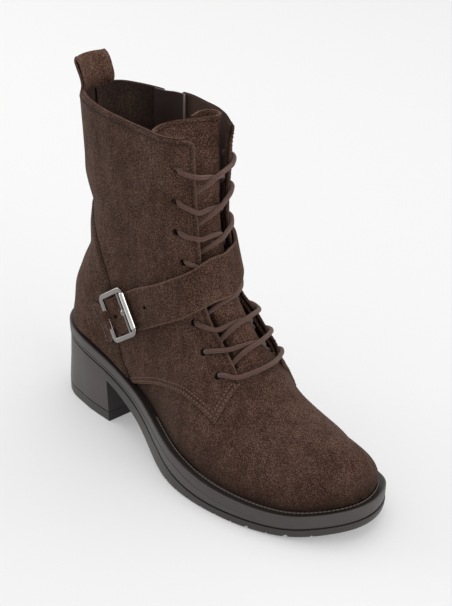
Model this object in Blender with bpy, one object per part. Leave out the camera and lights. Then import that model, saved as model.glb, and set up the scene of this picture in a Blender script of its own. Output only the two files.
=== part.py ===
# Right-foot lace-up ankle boot with a buckled instep strap and an inside zip.
# Sizes are in millimetres: +X runs to the toe, +Y to the inner (medial) side, +Z up from the floor.
import math
import bpy
import bmesh
import numpy as np

MM = 0.001
FIT = 0.3            # clear gap left between pieces that meet on a curve
WALL = 1.8           # thickness of the upper's wall
PANEL = 1.3          # thickness of the quarter panels laid on the upper
COUNTER = 2.1        # thickness of the heel counter, which stands proud of the quarters
LEDGE = 5.6          # width of the welt that shows outside the upper at the forefoot
HEEL_LEDGE = 3.4     # the same round the heel
SEAT = 0.75          # gap between the welt and the upper's lower edge
HEEL_X = 62.5        # front face of the heel, measured from the back of the sole
TOPLIFT = 6.5        # height of the heel's bottom piece
HEEL_FLARE = 3.6     # how far the back of the heel reaches out at the floor
TREAD_END = 248.0    # the tread's cross grooves stop before this
CENTRE_X = 129.166   # middle of the boot's box, measured from the back of the sole
CENTRE_Y = -1.489    # the same across

# Outline of the sole seen from above, from the back of the heel round the lateral side: x, y.
SOLE_OUTLINE = [
    (0.0, 0.3), (9.5, -20.0), (36.0, -31.5), (94.0, -34.6), (148.0, -49.6), (191.0, -48.8), (230.0, -36.2),
    (254.0, -14.5), (259.8, 7.0), (248.5, 30.0), (227.5, 40.8), (190.0, 47.6), (110.0, 28.8), (36.0, 32.4),
    (9.5, 22.0)]
# Side view of the sole: x, underside, seam between tread and midsole, top of the welt.
SOLE_SIDE = [
    (0.0, 38.0, 45.4, 54.5), (40.0, 34.2, 42.2, 51.4), (66.0, 29.9, 37.0, 46.2), (95.0, 16.9, 27.0, 37.4),
    (125.0, 2.4, 15.5, 29.6), (150.0, 0.0, 8.4, 23.6), (172.0, 0.0, 5.6, 19.0), (200.0, 0.0, 5.2, 16.3),
    (235.0, 2.4, 7.4, 16.8), (260.0, 8.0, 13.0, 22.5)]
# Back seam of the upper: z, x.
BACK_SEAM = [(50.0, 5.2), (58.0, 4.6), (68.0, 5.4), (82.0, 10.0), (98.0, 18.6), (115.0, 23.6), (132.0, 23.8),
             (152.0, 22.0), (178.0, 20.4), (210.5, 18.0)]
# Sections of the upper that start on the welt: base x, crown x, crown z, share of the section that rounds over.
SEAT_SECTIONS = [
    (254.4, 253.6, 22.5, 1.00), (251.8, 253.4, 30.5, 1.00), (246.4, 250.6, 39.5, 1.00),
    (238.0, 243.5, 46.6, 1.00), (227.0, 233.0, 50.8, 1.00), (213.0, 218.5, 54.2, 1.00),
    (196.0, 202.5, 59.6, 1.00), (176.0, 187.5, 68.4, 0.98), (154.0, 174.5, 79.4, 0.92),
    (130.0, 163.5, 91.0, 0.80), (104.0, 153.5, 103.0, 0.62), (76.0, 146.0, 117.5, 0.47),
    (48.0, 141.0, 133.5, 0.37), (22.0, 137.6, 148.0, 0.31), (5.0, 136.0, 158.0, 0.28)]
# Sections that start on the back seam: base z, crown x, crown z, share that rounds over.
BACK_SECTIONS = [
    (68.0, 135.2, 167.0, 0.26), (84.0, 134.8, 175.5, 0.25), (103.0, 134.6, 183.5, 0.24),
    (125.0, 134.5, 191.0, 0.23), (150.0, 134.5, 198.0, 0.22), (178.0, 134.7, 204.5, 0.22),
    (210.5, 135.0, 210.5, 0.22)]
HEEL_STATION = len(SEAT_SECTIONS) - 1
COLLAR = HEEL_STATION + len(BACK_SECTIONS)
SHAFT_HALF = 27.0    # half the width of the empty shaft
BULGE = 1.5          # how far the upper swells out above the welt
RIDGE = 0.50         # how much leaner than an ellipse the sections of the forefoot are


def spline(xs, ys):
    """Smooth curve y(x) through a short table, held at its end values."""
    xs = np.asarray(xs, float)
    ys = np.asarray(ys, float)
    slope = np.gradient(ys, xs)

    def at(x):
        x = np.clip(x, xs[0], xs[-1])
        i = np.clip(np.searchsorted(xs, x) - 1, 0, len(xs) - 2)
        step = xs[i + 1] - xs[i]
        u = (x - xs[i]) / step
        start = (1 + 2 * u) * (1 - u) ** 2 * ys[i] + u * (1 - u) ** 2 * step * slope[i]
        end = u * u * (3 - 2 * u) * ys[i + 1] + u * u * (u - 1) * step * slope[i + 1]
        return start + end
    return at


def smoothstep(low, high, x):
    u = np.clip((x - low) / (high - low), 0.0, 1.0)
    return u * u * (3 - 2 * u)


def quarter_round(u):
    """Quarter circle: 0 at u = 0, level from u = 1 on."""
    return np.sqrt(np.clip(1 - (1 - np.clip(u, 0.0, 1.0)) ** 2, 0.0, 1.0))


def closed_curve(points, count):
    """Closed smooth curve through the points, as count points at even spacing."""
    p = np.asarray(points, float)
    steps = np.arange(40) / 40.0
    pieces = []
    for i in range(len(p)):
        a, b, c, d = p[i - 1], p[i], p[(i + 1) % len(p)], p[(i + 2) % len(p)]
        u = steps[:, None]
        pieces.append(b + 0.5 * u * (c - a + u * (2 * a - 5 * b + 4 * c - d + u * (3 * (b - c) + d - a))))
    dense = np.concatenate(pieces)
    length = np.r_[0.0, np.cumsum(np.linalg.norm(np.roll(dense, -1, 0) - dense, axis=1))]
    want = np.arange(count) * length[-1] / count
    return np.stack([np.interp(want, length, np.r_[dense[:, k], dense[0, k]]) for k in (0, 1)], -1)


def inset(loop, distance):
    """The outline moved inwards; distance is a number or one value per point."""
    along = np.roll(loop, -1, 0) - np.roll(loop, 1, 0)
    along /= np.linalg.norm(along, axis=1, keepdims=True)
    inward = np.stack([-along[:, 1], along[:, 0]], -1)
    return loop + inward * np.broadcast_to(distance, len(loop))[:, None]


side_x, side_bottom, side_seam, side_top = np.array(SOLE_SIDE).T
bottom_curve = spline(side_x, side_bottom)
sole_seam = spline(side_x, side_seam)
sole_top = spline(side_x, side_top)
outline = closed_curve(SOLE_OUTLINE, 720)


def sole_bottom(x):
    return np.maximum(bottom_curve(x), 0.0)


def ledge_at(x):
    return HEEL_LEDGE + (LEDGE - HEEL_LEDGE) * smoothstep(40.0, 120.0, x)


feather = inset(outline, ledge_at(outline[:, 0]))


def chains(loop):
    """Lateral and medial edge of a closed outline, as y(x)."""
    lateral = loop[loop[:, 1] < np.interp(loop[:, 0], [0.0, 260.0], [0.3, 3.1])]
    medial = loop[loop[:, 1] >= np.interp(loop[:, 0], [0.0, 260.0], [0.3, 3.1])]
    lateral = lateral[np.argsort(lateral[:, 0])]
    medial = medial[np.argsort(medial[:, 0])]
    return (lambda x: np.interp(x, *lateral.T)), (lambda x: np.interp(x, *medial.T))


feather_lateral, feather_medial = chains(feather)
back_x = spline(*np.array(BACK_SEAM).T)
seat_rows = np.array(SEAT_SECTIONS)
seat_rows[0, 0] = feather[:, 0].max()
back_rows = np.array(BACK_SECTIONS)
stations = np.arange(COLLAR + 1.0)
seat_x = spline(stations[:HEEL_STATION + 1], seat_rows[:, 0])
back_z = spline(stations[HEEL_STATION:], np.r_[sole_top(5.0) + SEAT, back_rows[:, 0]])
crown_x = spline(stations, np.r_[seat_rows[:, 1], back_rows[:, 1]])
crown_z = spline(stations, np.r_[seat_rows[:, 2], back_rows[:, 2]])
crown_round = spline(stations, np.r_[seat_rows[:, 3], back_rows[:, 3]])


def base_point(t):
    """Side-view point where section t starts: on the welt up to the heel, then up the back seam."""
    on_seat = t <= HEEL_STATION
    x = seat_x(t)
    z = np.where(on_seat, sole_top(x) + SEAT, back_z(t))
    return np.where(on_seat, x, back_x(z)), z


def skin(t, a):
    """Outer surface of the upper: t runs from toe to collar, a from -1 (lateral base) over 0 (crown) to 1."""
    t = np.asarray(t, float)
    a = np.asarray(a, float)
    h = 1 - np.abs(a)
    bx, bz = base_point(t)
    rise = smoothstep(HEEL_STATION - 2.0, HEEL_STATION, t)
    go = (1 - rise) * np.sin(math.pi * h / 2) + rise * (1 - np.cos(math.pi * h)) / 2
    x = bx + (crown_x(t) - bx) * go
    z = bz + (crown_z(t) - bz) * go
    foot_x = np.maximum(bx, HEEL_X)
    foot_half = (feather_medial(foot_x) - feather_lateral(foot_x)) / 2
    foot_mid = (feather_medial(foot_x) + feather_lateral(foot_x)) / 2
    foot_mid = foot_mid * smoothstep(20.0, 80.0, bx) * (1 - go * smoothstep(3.0, 8.0, t))
    half = foot_half + (SHAFT_HALF - foot_half) * smoothstep(62.0, 135.0, z)
    half = half + BULGE * np.sin(math.pi * np.clip(go / 0.7, 0.0, 1.0))
    heel_round = 32.0 + 23.0 * smoothstep(75.0, 160.0, z)
    lean = 2.0 - RIDGE * (1 - smoothstep(7.0, 11.0, t))
    over = np.sqrt(np.clip(1 - np.clip(1 - (1 - go) / crown_round(t), 0.0, 1.0) ** lean, 0.0, 1.0))
    half = half * quarter_round((x - back_x(z)) / heel_round) * over
    return np.stack([x, foot_mid + np.sign(a) * half, z], -1)


def form(t, a, off=0.0):
    """Point of the skin moved out by off along its normal."""
    t, a, off = np.broadcast_arrays(np.asarray(t, float), np.asarray(a, float), np.asarray(off, float))
    point = skin(t, a)
    step = 1e-3
    t0, t1 = np.maximum(t - step, 0.004), np.minimum(t + step, COLLAR)
    inside = np.where(t < HEEL_STATION, np.clip(a, -0.965, 0.965), a)
    a0, a1 = np.maximum(inside - step, -1.0), np.minimum(inside + step, 1.0)
    normal = np.cross(skin(t, a1) - skin(t, a0), skin(t1, inside) - skin(t0, inside))
    seam = (np.abs(a) > 0.9999) & (t >= HEEL_STATION)
    normal[..., 1] = np.where(seam, 0.0, normal[..., 1])
    normal /= np.maximum(np.linalg.norm(normal, axis=-1, keepdims=True), 1e-12)
    toe = (t < 0.02)[..., None]
    normal = np.where(toe, np.array([1.0, 0.0, 0.0]), normal)
    return point + normal * off[..., None]


def locate(points, side):
    """Station and turn of the skin points seen from the side at (x, z); side is -1 lateral or 1 medial."""
    target = np.asarray(points, float)
    grid_t, grid_go = np.meshgrid(np.linspace(0.0, COLLAR, 211), np.linspace(0.0, 1.0, 41), indexing="ij")

    def side_view(t, go):
        bx, bz = base_point(t)
        return np.stack([bx + (crown_x(t) - bx) * go, bz + (crown_z(t) - bz) * go], -1)

    grid = side_view(grid_t, grid_go)
    found = []
    for want in target:
        k = np.argmin(((grid - want) ** 2).sum(-1))
        t, go = grid_t.flat[k], grid_go.flat[k]
        for _ in range(12):
            here = side_view(t, go)
            by_t = (side_view(t + 1e-4, go) - side_view(t - 1e-4, go)) / 2e-4
            by_go = (side_view(t, go + 1e-4) - side_view(t, go - 1e-4)) / 2e-4
            step = np.linalg.solve(np.stack([by_t, by_go], -1) + 1e-9 * np.eye(2), want - here)
            t = float(np.clip(t + np.clip(step[0], -0.4, 0.4), 0.0, COLLAR))
            go = float(np.clip(go + np.clip(step[1], -0.2, 0.2), 0.0, 1.0))
        rise = float(smoothstep(HEEL_STATION - 2.0, HEEL_STATION, t))
        h = np.linspace(0.0, 1.0, 2001)
        goes = (1 - rise) * np.sin(math.pi * h / 2) + rise * (1 - np.cos(math.pi * h)) / 2
        found.append((t, side * (1 - float(np.interp(go, goes, h)))))
    return np.array(found)


# Slots: base colour, roughness, metallic.
SLOTS = {
    "suede": ((0.055, 0.030, 0.022), 0.95, 0.0),
    "leather": ((0.016, 0.011, 0.010), 0.45, 0.0),
    "sole_rubber": ((0.018, 0.015, 0.014), 0.42, 0.0),
    "lace_cord": ((0.075, 0.038, 0.028), 0.85, 0.0),
    "nickel": ((0.62, 0.60, 0.58), 0.18, 1.0),
    "zip_metal": ((0.30, 0.28, 0.26), 0.35, 1.0),
}


def material(slot):
    found = bpy.data.materials.get(slot)
    if found:
        return found
    colour, rough, metal = SLOTS[slot]
    made = bpy.data.materials.new(slot)
    made.use_nodes = True
    shader = made.node_tree.nodes["Principled BSDF"]
    shader.inputs["Base Color"].default_value = (*colour, 1.0)
    shader.inputs["Roughness"].default_value = rough
    shader.inputs["Metallic"].default_value = metal
    return made


def add_solid(name, slot, points, faces):
    """One closed node from points in millimetres; its faces are turned outwards."""
    mesh = bpy.data.meshes.new(name)
    mesh.from_pydata([((x - CENTRE_X) * MM, (y - CENTRE_Y) * MM, z * MM) for x, y, z in points], [], faces)
    shape = bmesh.new()
    shape.from_mesh(mesh)
    bmesh.ops.recalc_face_normals(shape, faces=shape.faces)
    if shape.calc_volume(signed=True) < 0:
        bmesh.ops.reverse_faces(shape, faces=shape.faces)
    shape.to_mesh(mesh)
    shape.free()
    mesh.materials.append(material(slot))
    node = bpy.data.objects.new(name, mesh)
    bpy.context.collection.objects.link(node)
    return node


def weld(points, faces):
    """Points that coincide become one, and faces that collapse go."""
    index, kept, number = {}, [], []
    for p in points:
        key = tuple(np.round(p, 4))
        if key not in index:
            index[key] = len(kept)
            kept.append(tuple(p))
        number.append(index[key])
    clean = []
    for face in faces:
        ring = [number[i] for i in face]
        ring = [v for k, v in enumerate(ring) if v != ring[k - 1]]
        if len(set(ring)) > 2:
            clean.append(ring)
    return kept, clean


def shell(name, slot, sheets):
    """Closed solid between outer and inner grids, the cells split along diagonals that mirror in the middle.

    Each sheet is (outer, inner, keep), where keep marks the cells used.
    """
    outer, inner, faces = [], [], []
    for out, back, keep in sheets:
        start = len(outer)
        rows, cols = out.shape[:2]
        outer.extend(out.reshape(-1, 3))
        inner.extend(back.reshape(-1, 3))
        for i in range(rows - 1):
            for j in range(cols - 1):
                if keep is None or keep[i, j]:
                    a = start + i * cols + j
                    b = a + cols
                    if 2 * j < cols - 1:
                        faces += [(a, b, b + 1), (a, b + 1, a + 1)]
                    else:
                        faces += [(a, b, a + 1), (a + 1, b, b + 1)]
    points, cells = weld(outer, faces)
    count = len(points)
    place = {tuple(p): k for k, p in enumerate(points)}
    lookup = {tuple(np.round(p, 4)): k for p, k in place.items()}
    back_points = [None] * count
    for p, q in zip(outer, inner):
        k = lookup[tuple(np.round(p, 4))]
        if back_points[k] is None:
            back_points[k] = tuple(q)
    edges = {(f[k - 1], f[k]) for f in cells for k in range(len(f))}
    rim = [(v, u, u + count, v + count) for u, v in edges if (v, u) not in edges]
    back_cells = [[v + count for v in reversed(f)] for f in cells]
    return add_solid(name, slot, points + back_points, cells + back_cells + sorted(rim))


def spaced(start, end, count):
    """Values from start to end that crowd together at both ends."""
    u = np.linspace(0.0, 1.0, count)
    return start + (end - start) * (u * 0.25 + 0.75 * (1 - np.cos(math.pi * u)) / 2)


def layer(name, slot, levels, xs=None, start=None, end=None):
    """Sole layer: levels are (inset, height function) from the bottom up, cut off square at start or end."""
    points, faces = [], []
    rings = []
    for distance, height in levels:
        loop = inset(outline, distance)
        lateral, medial = chains(loop)
        low = loop[:, 0].min() if start is None else start
        high = loop[:, 0].max() if end is None else end
        if xs is None:
            x = spaced(low, high, 22 if end is None else 14)
        else:
            x = np.interp(xs, [xs[0], TREAD_END, xs[-1]], [low, TREAD_END, high])
        y_l, y_m = lateral(x), medial(x)
        if start is None:
            y_l[0] = y_m[0] = (y_l[0] + y_m[0]) / 2
        if end is None:
            y_l[-1] = y_m[-1] = (y_l[-1] + y_m[-1]) / 2
        z = height(x)
        at = len(points)
        points.extend(np.stack([x, y_l, z], -1))
        points.extend(np.stack([x, y_m, z], -1))
        rings.append((at, at + len(x), len(x)))
    for (l0, m0, n), (l1, m1, _) in zip(rings, rings[1:]):
        for k in range(n - 1):
            faces.append((l0 + k, l0 + k + 1, l1 + k + 1, l1 + k))
            faces.append((m0 + k + 1, m0 + k, m1 + k, m1 + k + 1))
        faces.append((m0, l0, l1, m1))
        faces.append((l0 + n - 1, m0 + n - 1, m1 + n - 1, l1 + n - 1))
    for (l, m, n), flip in ((rings[0], True), (rings[-1], False)):
        for k in range(n - 1):
            quad = (l + k, l + k + 1, m + k + 1, m + k)
            faces.append(quad[::-1] if flip else quad)
    return add_solid(name, slot, *weld(points, faces))


def even(points, count):
    """count points at even spacing on a smooth curve through the points."""
    p = np.asarray(points, float)
    run = np.r_[0.0, np.cumsum(np.linalg.norm(np.diff(p, axis=0), axis=1))]
    dense = np.linspace(0.0, run[-1], 400)
    curve = np.stack([spline(run, p[:, k])(dense) for k in range(p.shape[1])], -1)
    length = np.r_[0.0, np.cumsum(np.linalg.norm(np.diff(curve, axis=0), axis=1))]
    want = np.linspace(0.0, length[-1], count)
    return np.stack([np.interp(want, length, curve[:, k]) for k in range(p.shape[1])], -1)


def tube(centres, radii, sides=6, up=(0.0, 0.0, 1.0)):
    """Points and faces of a round bar along the centres, closed with flat ends."""
    centres = np.asarray(centres, float)
    radii = np.broadcast_to(radii, len(centres))
    along = np.gradient(centres, axis=0)
    along /= np.linalg.norm(along, axis=1, keepdims=True)
    points, faces = [], []
    for c, d, r in zip(centres, along, radii):
        u = np.cross(d, up)
        u /= np.linalg.norm(u)
        v = np.cross(d, u)
        for k in range(sides):
            angle = 2 * math.pi * (k + 0.5) / sides
            points.append(c + r * (math.cos(angle) * u + math.sin(angle) * v))
    n = len(centres)
    for i in range(n - 1):
        for k in range(sides):
            a, b = i * sides + k, i * sides + (k + 1) % sides
            faces.append((a, b, b + sides, a + sides))
    faces.append(tuple(range(sides))[::-1])
    faces.append(tuple((n - 1) * sides + k for k in range(sides)))
    return points, faces


def combine(node, other, operation):
    """Boolean of two nodes; the second one is used up."""
    other.hide_render = True
    other.display_type = 'WIRE'
    step = node.modifiers.new("join", 'BOOLEAN')
    step.operation = operation
    step.solver = 'EXACT'
    step.object = other
    bpy.context.view_layer.update()
    made = bpy.data.meshes.new_from_object(node.evaluated_get(bpy.context.evaluated_depsgraph_get()))
    node.modifiers.clear()
    node.data = made
    bpy.data.objects.remove(other)
    return node


for old in list(bpy.data.objects):
    bpy.data.objects.remove(old)

# Sole, from the floor up.
WELT = 2.5
LUG_DEPTH = 2.2
LUG_PITCH = 11.4
LUG_GROOVE = 3.4
lug_starts = np.arange(128.0, 244.0, LUG_PITCH)


def tread(x):
    """Underside with its cross grooves."""
    inside = ((x[:, None] > lug_starts) & (x[:, None] < lug_starts + LUG_GROOVE)).any(1)
    return sole_bottom(x) + LUG_DEPTH * inside


tread_x = [HEEL_X + FIT, 74.0, 86.0, 98.0, 110.0, 120.0]
for groove in lug_starts:
    tread_x += [groove, groove + 0.5, groove + LUG_GROOVE - 0.5, groove + LUG_GROOVE]
tread_x = np.array(tread_x + [249.5, 253.5, 256.8, 259.0, 260.0])
layer("outsole", "sole_rubber",
      [(1.3, tread), (0.3, lambda x: sole_bottom(x) + LUG_DEPTH + 0.9), (0.0, sole_seam)],
      xs=tread_x, start=HEEL_X + FIT)
layer("midsole", "sole_rubber", [
    (1.5, lambda x: sole_seam(x) + FIT), (1.5, lambda x: sole_seam(x) + 1.3),
    (0.3, lambda x: sole_seam(x) + 1.7), (0.3, lambda x: sole_top(x) - 6.7),
    (0.9, lambda x: sole_top(x) - 6.4), (0.9, lambda x: sole_top(x) - 6.0),
    (0.3, lambda x: sole_top(x) - 5.7), (0.3, lambda x: sole_top(x) - WELT - FIT)])
layer("welt", "sole_rubber", [
    (0.6, lambda x: sole_top(x) - WELT), (0.0, lambda x: sole_top(x) - WELT + 0.5),
    (0.0, lambda x: sole_top(x) - 0.5), (0.5, sole_top)])
flare = HEEL_FLARE * (1 - smoothstep(4.0, 36.0, outline[:, 0]))
layer("heel_block", "sole_rubber", [
    (2.7 - flare, lambda x: 0 * x + TOPLIFT + FIT), (2.7 - flare, lambda x: 0 * x + TOPLIFT + 1.1),
    (1.9 - flare, lambda x: 0 * x + TOPLIFT + 1.5), (1.0, lambda x: sole_seam(x) - 1.6),
    (1.6, lambda x: sole_seam(x) - FIT)], end=HEEL_X)
layer("heel_toplift", "sole_rubber", [
    (2.6 - flare, lambda x: 0 * x), (1.9 - flare, lambda x: 0 * x + 0.9),
    (1.9 - flare, lambda x: 0 * x + TOPLIFT)], end=HEEL_X)
INSOLE = 3.0
insole_in = ledge_at(outline[:, 0]) + WALL + 3.2
layer("insole", "leather", [
    (insole_in, lambda x: sole_top(x) + FIT), (insole_in, lambda x: sole_top(x) + INSOLE - 0.8),
    (insole_in + 1.0, lambda x: sole_top(x) + INSOLE)])

# Edges of the panels seen from the side: x, z.
FACING = [
    (173.9, 71.2), (170.5, 76.0), (163.6, 82.7), (155.1, 91.0), (147.8, 99.6), (143.4, 107.4),
    (138.9, 121.9), (135.6, 136.0), (132.2, 158.5), (131.7, 178.9), (131.6, 199.4), (131.4, 209.6)]
QUARTER_FOOT = [(171.5, 50.8), (157.8, 55.5), (141.8, 57.4), (125.1, 54.0), (107.2, 47.8), (95.5, 42.6)]
COUNTER_FRONT = [
    (85.5, 43.2), (80.0, 51.0), (75.9, 59.8), (72.7, 78.5), (69.0, 100.0), (61.3, 116.8), (50.4, 130.7),
    (38.0, 138.5), (27.0, 142.0)]
# Zip on the medial side: x, z, half the gap in the panels.
ZIP = [(62.0, 209.6, 8.4), (62.0, 200.0, 8.4), (62.2, 190.0, 4.2), (62.8, 176.0, 3.8), (64.5, 150.0, 3.8),
       (69.5, 120.0, 3.8), (75.5, 100.0, 3.8), (79.5, 80.0, 3.8), (83.0, 62.0, 3.8)]
EYELETS = [(124.4, 192.7), (123.6, 172.7), (122.9, 152.9), (126.6, 134.3), (131.4, 116.7), (136.9, 98.9),
           (146.9, 83.3), (161.1, 73.5)]
EYELET_HOLE = 2.0
THROAT = 8.4         # station where the throat opens
TOP = COLLAR - 0.06  # the panels stop just under the collar
PANEL_LOW, PANEL_HIGH = FIT, FIT + PANEL
COUNTER_HIGH = FIT + COUNTER

facing_edge = locate(even(FACING, 24), 1)
facing_turn = spline(facing_edge[:, 0], facing_edge[:, 1])


def throat_turn(t):
    return facing_turn(t) + 0.045


# Upper: one hollow wall, open underneath, at the throat, at the collar and in the notch over the zip.
upper_t = np.array([0.0, 0.2, 0.6, 1.1, 1.8, 2.6, 3.5, 4.5, 5.6, 6.7, 7.7, THROAT, 9.2, 10.1, 11.0, 11.8, 12.6,
                    13.2, 13.65, 14.0, 14.7, 15.6, 16.6, 17.7, 18.9, 20.2, COLLAR])
share = np.array([1.0, 0.94, 0.85, 0.73, 0.558, 0.452, 0.3, 0.14, 0.0])
NOTCH = (0.452, 0.558)
t_grid = np.repeat(upper_t[:, None], 2 * len(share) + 3, 1)
edge_turn = throat_turn(upper_t)[:, None]
a_grid = np.concatenate([-(edge_turn + (1 - edge_turn) * share), edge_turn * np.array([-0.5, 0.0, 0.5]),
                         edge_turn + (1 - edge_turn) * share[::-1]], 1)
upper_keep = np.ones((len(upper_t) - 1, a_grid.shape[1] - 1), bool)
open_rows = upper_t[:-1] >= THROAT
middle = len(share) - 1
upper_keep[np.ix_(open_rows, range(middle, middle + 4))] = False
notch_col = len(share) + 3 + list(share[::-1]).index(NOTCH[0])
upper_keep[upper_t[:-1] >= 20.1, notch_col] = False
upper = shell("upper", "suede", [(form(t_grid, a_grid), form(t_grid, a_grid, -WALL), upper_keep)])


def prism(outline_xz, y0, y1):
    """Straight block with the given outline in side view, between two values of y."""
    n = len(outline_xz)
    points = [(x, y, z) for y in (y0, y1) for x, z in outline_xz]
    faces = [tuple(range(n)), tuple(range(2 * n - 1, n - 1, -1))]
    faces += [(k, (k + 1) % n, n + (k + 1) % n, n + k) for k in range(n)]
    return add_solid("cutter", "suede", points, faces)


def panel(name, slot, low, high, outline_xz, y0, y1):
    """Panel cut by a side-view outline from the space between two offsets of the upper's own grid."""
    node = shell(name, slot, [(form(t_grid, a_grid, high), form(t_grid, a_grid, low), None)])
    return combine(node, prism(outline_xz, y0, y1), 'INTERSECT')


def beside(points, away):
    """The edge moved sideways by away, to the right of its direction."""
    p = np.asarray(points, float)
    along = np.gradient(p, axis=0)
    along /= np.linalg.norm(along, axis=1, keepdims=True)
    return p + np.stack([along[:, 1], -along[:, 0]], -1) * np.broadcast_to(away, len(p))[:, None]


def rest_line(x0, x1, count):
    """Line just above the welt."""
    x = np.linspace(x0, x1, count)
    return np.stack([x, sole_top(x) + SEAT + 0.2], -1)


# Panels over the upper. BACK, HIGH and WIDE lie beyond the boot.
BACK, HIGH, WIDE = -30.0, 240.0, 90.0
SEAM_GAP = 0.15
PANEL_GAP = 0.8
counter_edge = even(COUNTER_FRONT, 16)
facing_line = even(FACING, 20)
foot_line = even(QUARTER_FOOT, 9)
zip_line = np.array(ZIP)[::-1]
zip_ahead = even(zip_line[:, :2] + zip_line[:, 2:] * np.array([1.0, 0.0]), 14)
zip_behind = even(zip_line[3:, :2] - zip_line[3:, 2:] * np.array([1.0, 0.0]), 12)
panel("heel_counter", "suede", PANEL_LOW, COUNTER_HIGH, np.concatenate([
    counter_edge, [(BACK, 143.0), (BACK, 56.0)], rest_line(3.0, 83.0, 8)]), -WIDE, WIDE)
panel("quarter_lateral", "suede", PANEL_LOW, PANEL_HIGH, np.concatenate([
    facing_line, [(131.4, HIGH), (BACK, HIGH), (BACK, 143.8)], beside(counter_edge, PANEL_GAP)[::-1],
    rest_line(88.0, 93.0, 2), foot_line[::-1]]), -WIDE, -SEAM_GAP)
panel("quarter_medial", "suede", PANEL_LOW, PANEL_HIGH, np.concatenate([
    facing_line, [(131.4, HIGH), (zip_ahead[-1, 0], HIGH)], zip_ahead[::-1], rest_line(91.0, 93.0, 2),
    foot_line[::-1]]), SEAM_GAP, WIDE)
panel("quarter_medial_rear", "suede", PANEL_LOW, PANEL_HIGH, np.concatenate([
    zip_behind, [(zip_behind[-1, 0], HIGH), (BACK, HIGH), (BACK, 143.8)],
    beside(counter_edge, PANEL_GAP)[:9:-1]]), SEAM_GAP, WIDE)

# Tongue: under the facings, leaning back into the shaft towards its top.
TONGUE = 1.7
TONGUE_DEPTH = 3.0
TONGUE_LEAN = 17.0
TONGUE_RISE = 5.0
TONGUE_DROP = 0.2    # how far it sinks for each millimetre that it leans back
tongue_t = np.array([7.75, 8.5, 9.4, 10.3, 11.2, 12.1, 13.2, 14.6, 16.2, 17.8, 19.4, COLLAR])
tongue_lean = TONGUE_LEAN * smoothstep(10.8, COLLAR + 2.0, tongue_t) + 3.0 * smoothstep(16.0, COLLAR, tongue_t)
tongue_half = facing_turn(tongue_t) + 0.035 + 0.075 * smoothstep(8.0, 10.0, tongue_t)
spread = np.linspace(-1.0, 1.0, 7)
tongue_grid_t = np.repeat(tongue_t[:, None], len(spread), 1)
tongue_grid_a = tongue_half[:, None] * spread
shift = np.zeros(tongue_grid_t.shape + (3,))
shift[..., 0] = -tongue_lean[:, None]
shift[..., 2] = (TONGUE_RISE * smoothstep(18.0, COLLAR, tongue_t) - TONGUE_DROP * tongue_lean)[:, None]
shell("tongue", "suede", [(form(tongue_grid_t, tongue_grid_a, -TONGUE_DEPTH) + shift,
                           form(tongue_grid_t, tongue_grid_a, -TONGUE_DEPTH - TONGUE) + shift, None)])

# Laces: each crossing goes from an eyelet over its facing and stops before the other facing.
CORD = 1.4           # radius of the lace
CORD_OVER = PANEL_HIGH + 1.6 * FIT + CORD
eyelet_at = locate(EYELETS, 1)


def cord(start, end, side, middle_off, end_off, stop):
    """Smooth curve of one lace run on the form, from an eyelet on one side towards the other side."""
    t0, a0 = start
    t1, a1 = end
    lip = facing_turn(t0 + 0.25 * (t1 - t0))
    far = facing_turn(t1) - stop if stop else a1
    keys = [(t0, -a0, CORD_OVER), (t0 + 0.12 * (t1 - t0), -(a0 + lip) / 2, CORD_OVER + 0.1),
            (t0 + 0.25 * (t1 - t0), -lip, CORD_OVER - 0.2), (t0 + 0.5 * (t1 - t0), 0.0, middle_off),
            (t0 + 0.8 * (t1 - t0), 0.75 * far, end_off), (t1, far, end_off)]
    t, a, off = np.array(keys).T
    return even(form(t, side * a, off), 8)


def lace(name, paths):
    node = None
    for number, path in enumerate(paths):
        strand = add_solid(f"{name}_{number}", "lace_cord", *tube(path, CORD, 5, (0.2, 0.1, 1.0)))
        node = strand if node is None else combine(node, strand, 'UNION')
    node.name = name
    node.data.name = name


for number in range(len(EYELETS) - 1):
    pair = eyelet_at[number], eyelet_at[number + 1]
    lace(f"lace_cross_{number + 1}",
         [cord(*pair, 1, -1.2, -0.6, 0.03), cord(*pair, -1, 0.2, -0.6, 0.03)])
lace("lace_bar", [cord(eyelet_at[-1], eyelet_at[-1], 1, 1.4, CORD_OVER + 0.2, 0.0)])

# Strap over the instep: upper edge x, z, lower edge x, z, side, clearance under it.
STRAP = [
    (68.1, 91.4, 75.8, 70.2, -1, 2.8), (90.7, 106.5, 103.7, 84.9, -1, 2.5),
    (113.7, 119.0, 120.5, 95.0, -1, 4.7), (130.5, 130.5, 134.0, 103.4, -1, 6.1),
    (136.6, 138.2, 142.6, 111.2, -1, 5.1), (139.5, 140.4, 148.0, 113.8, -1, 2.8),
    (133.0, 140.8, 138.0, 115.0, 1, 6.1), (120.0, 142.0, 118.5, 117.0, 1, 5.7),
    (105.0, 143.5, 103.0, 118.5, 1, 2.6), (90.0, 145.0, 88.0, 120.0, 1, 2.0)]
STRAP_THICK = 1.9


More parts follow.
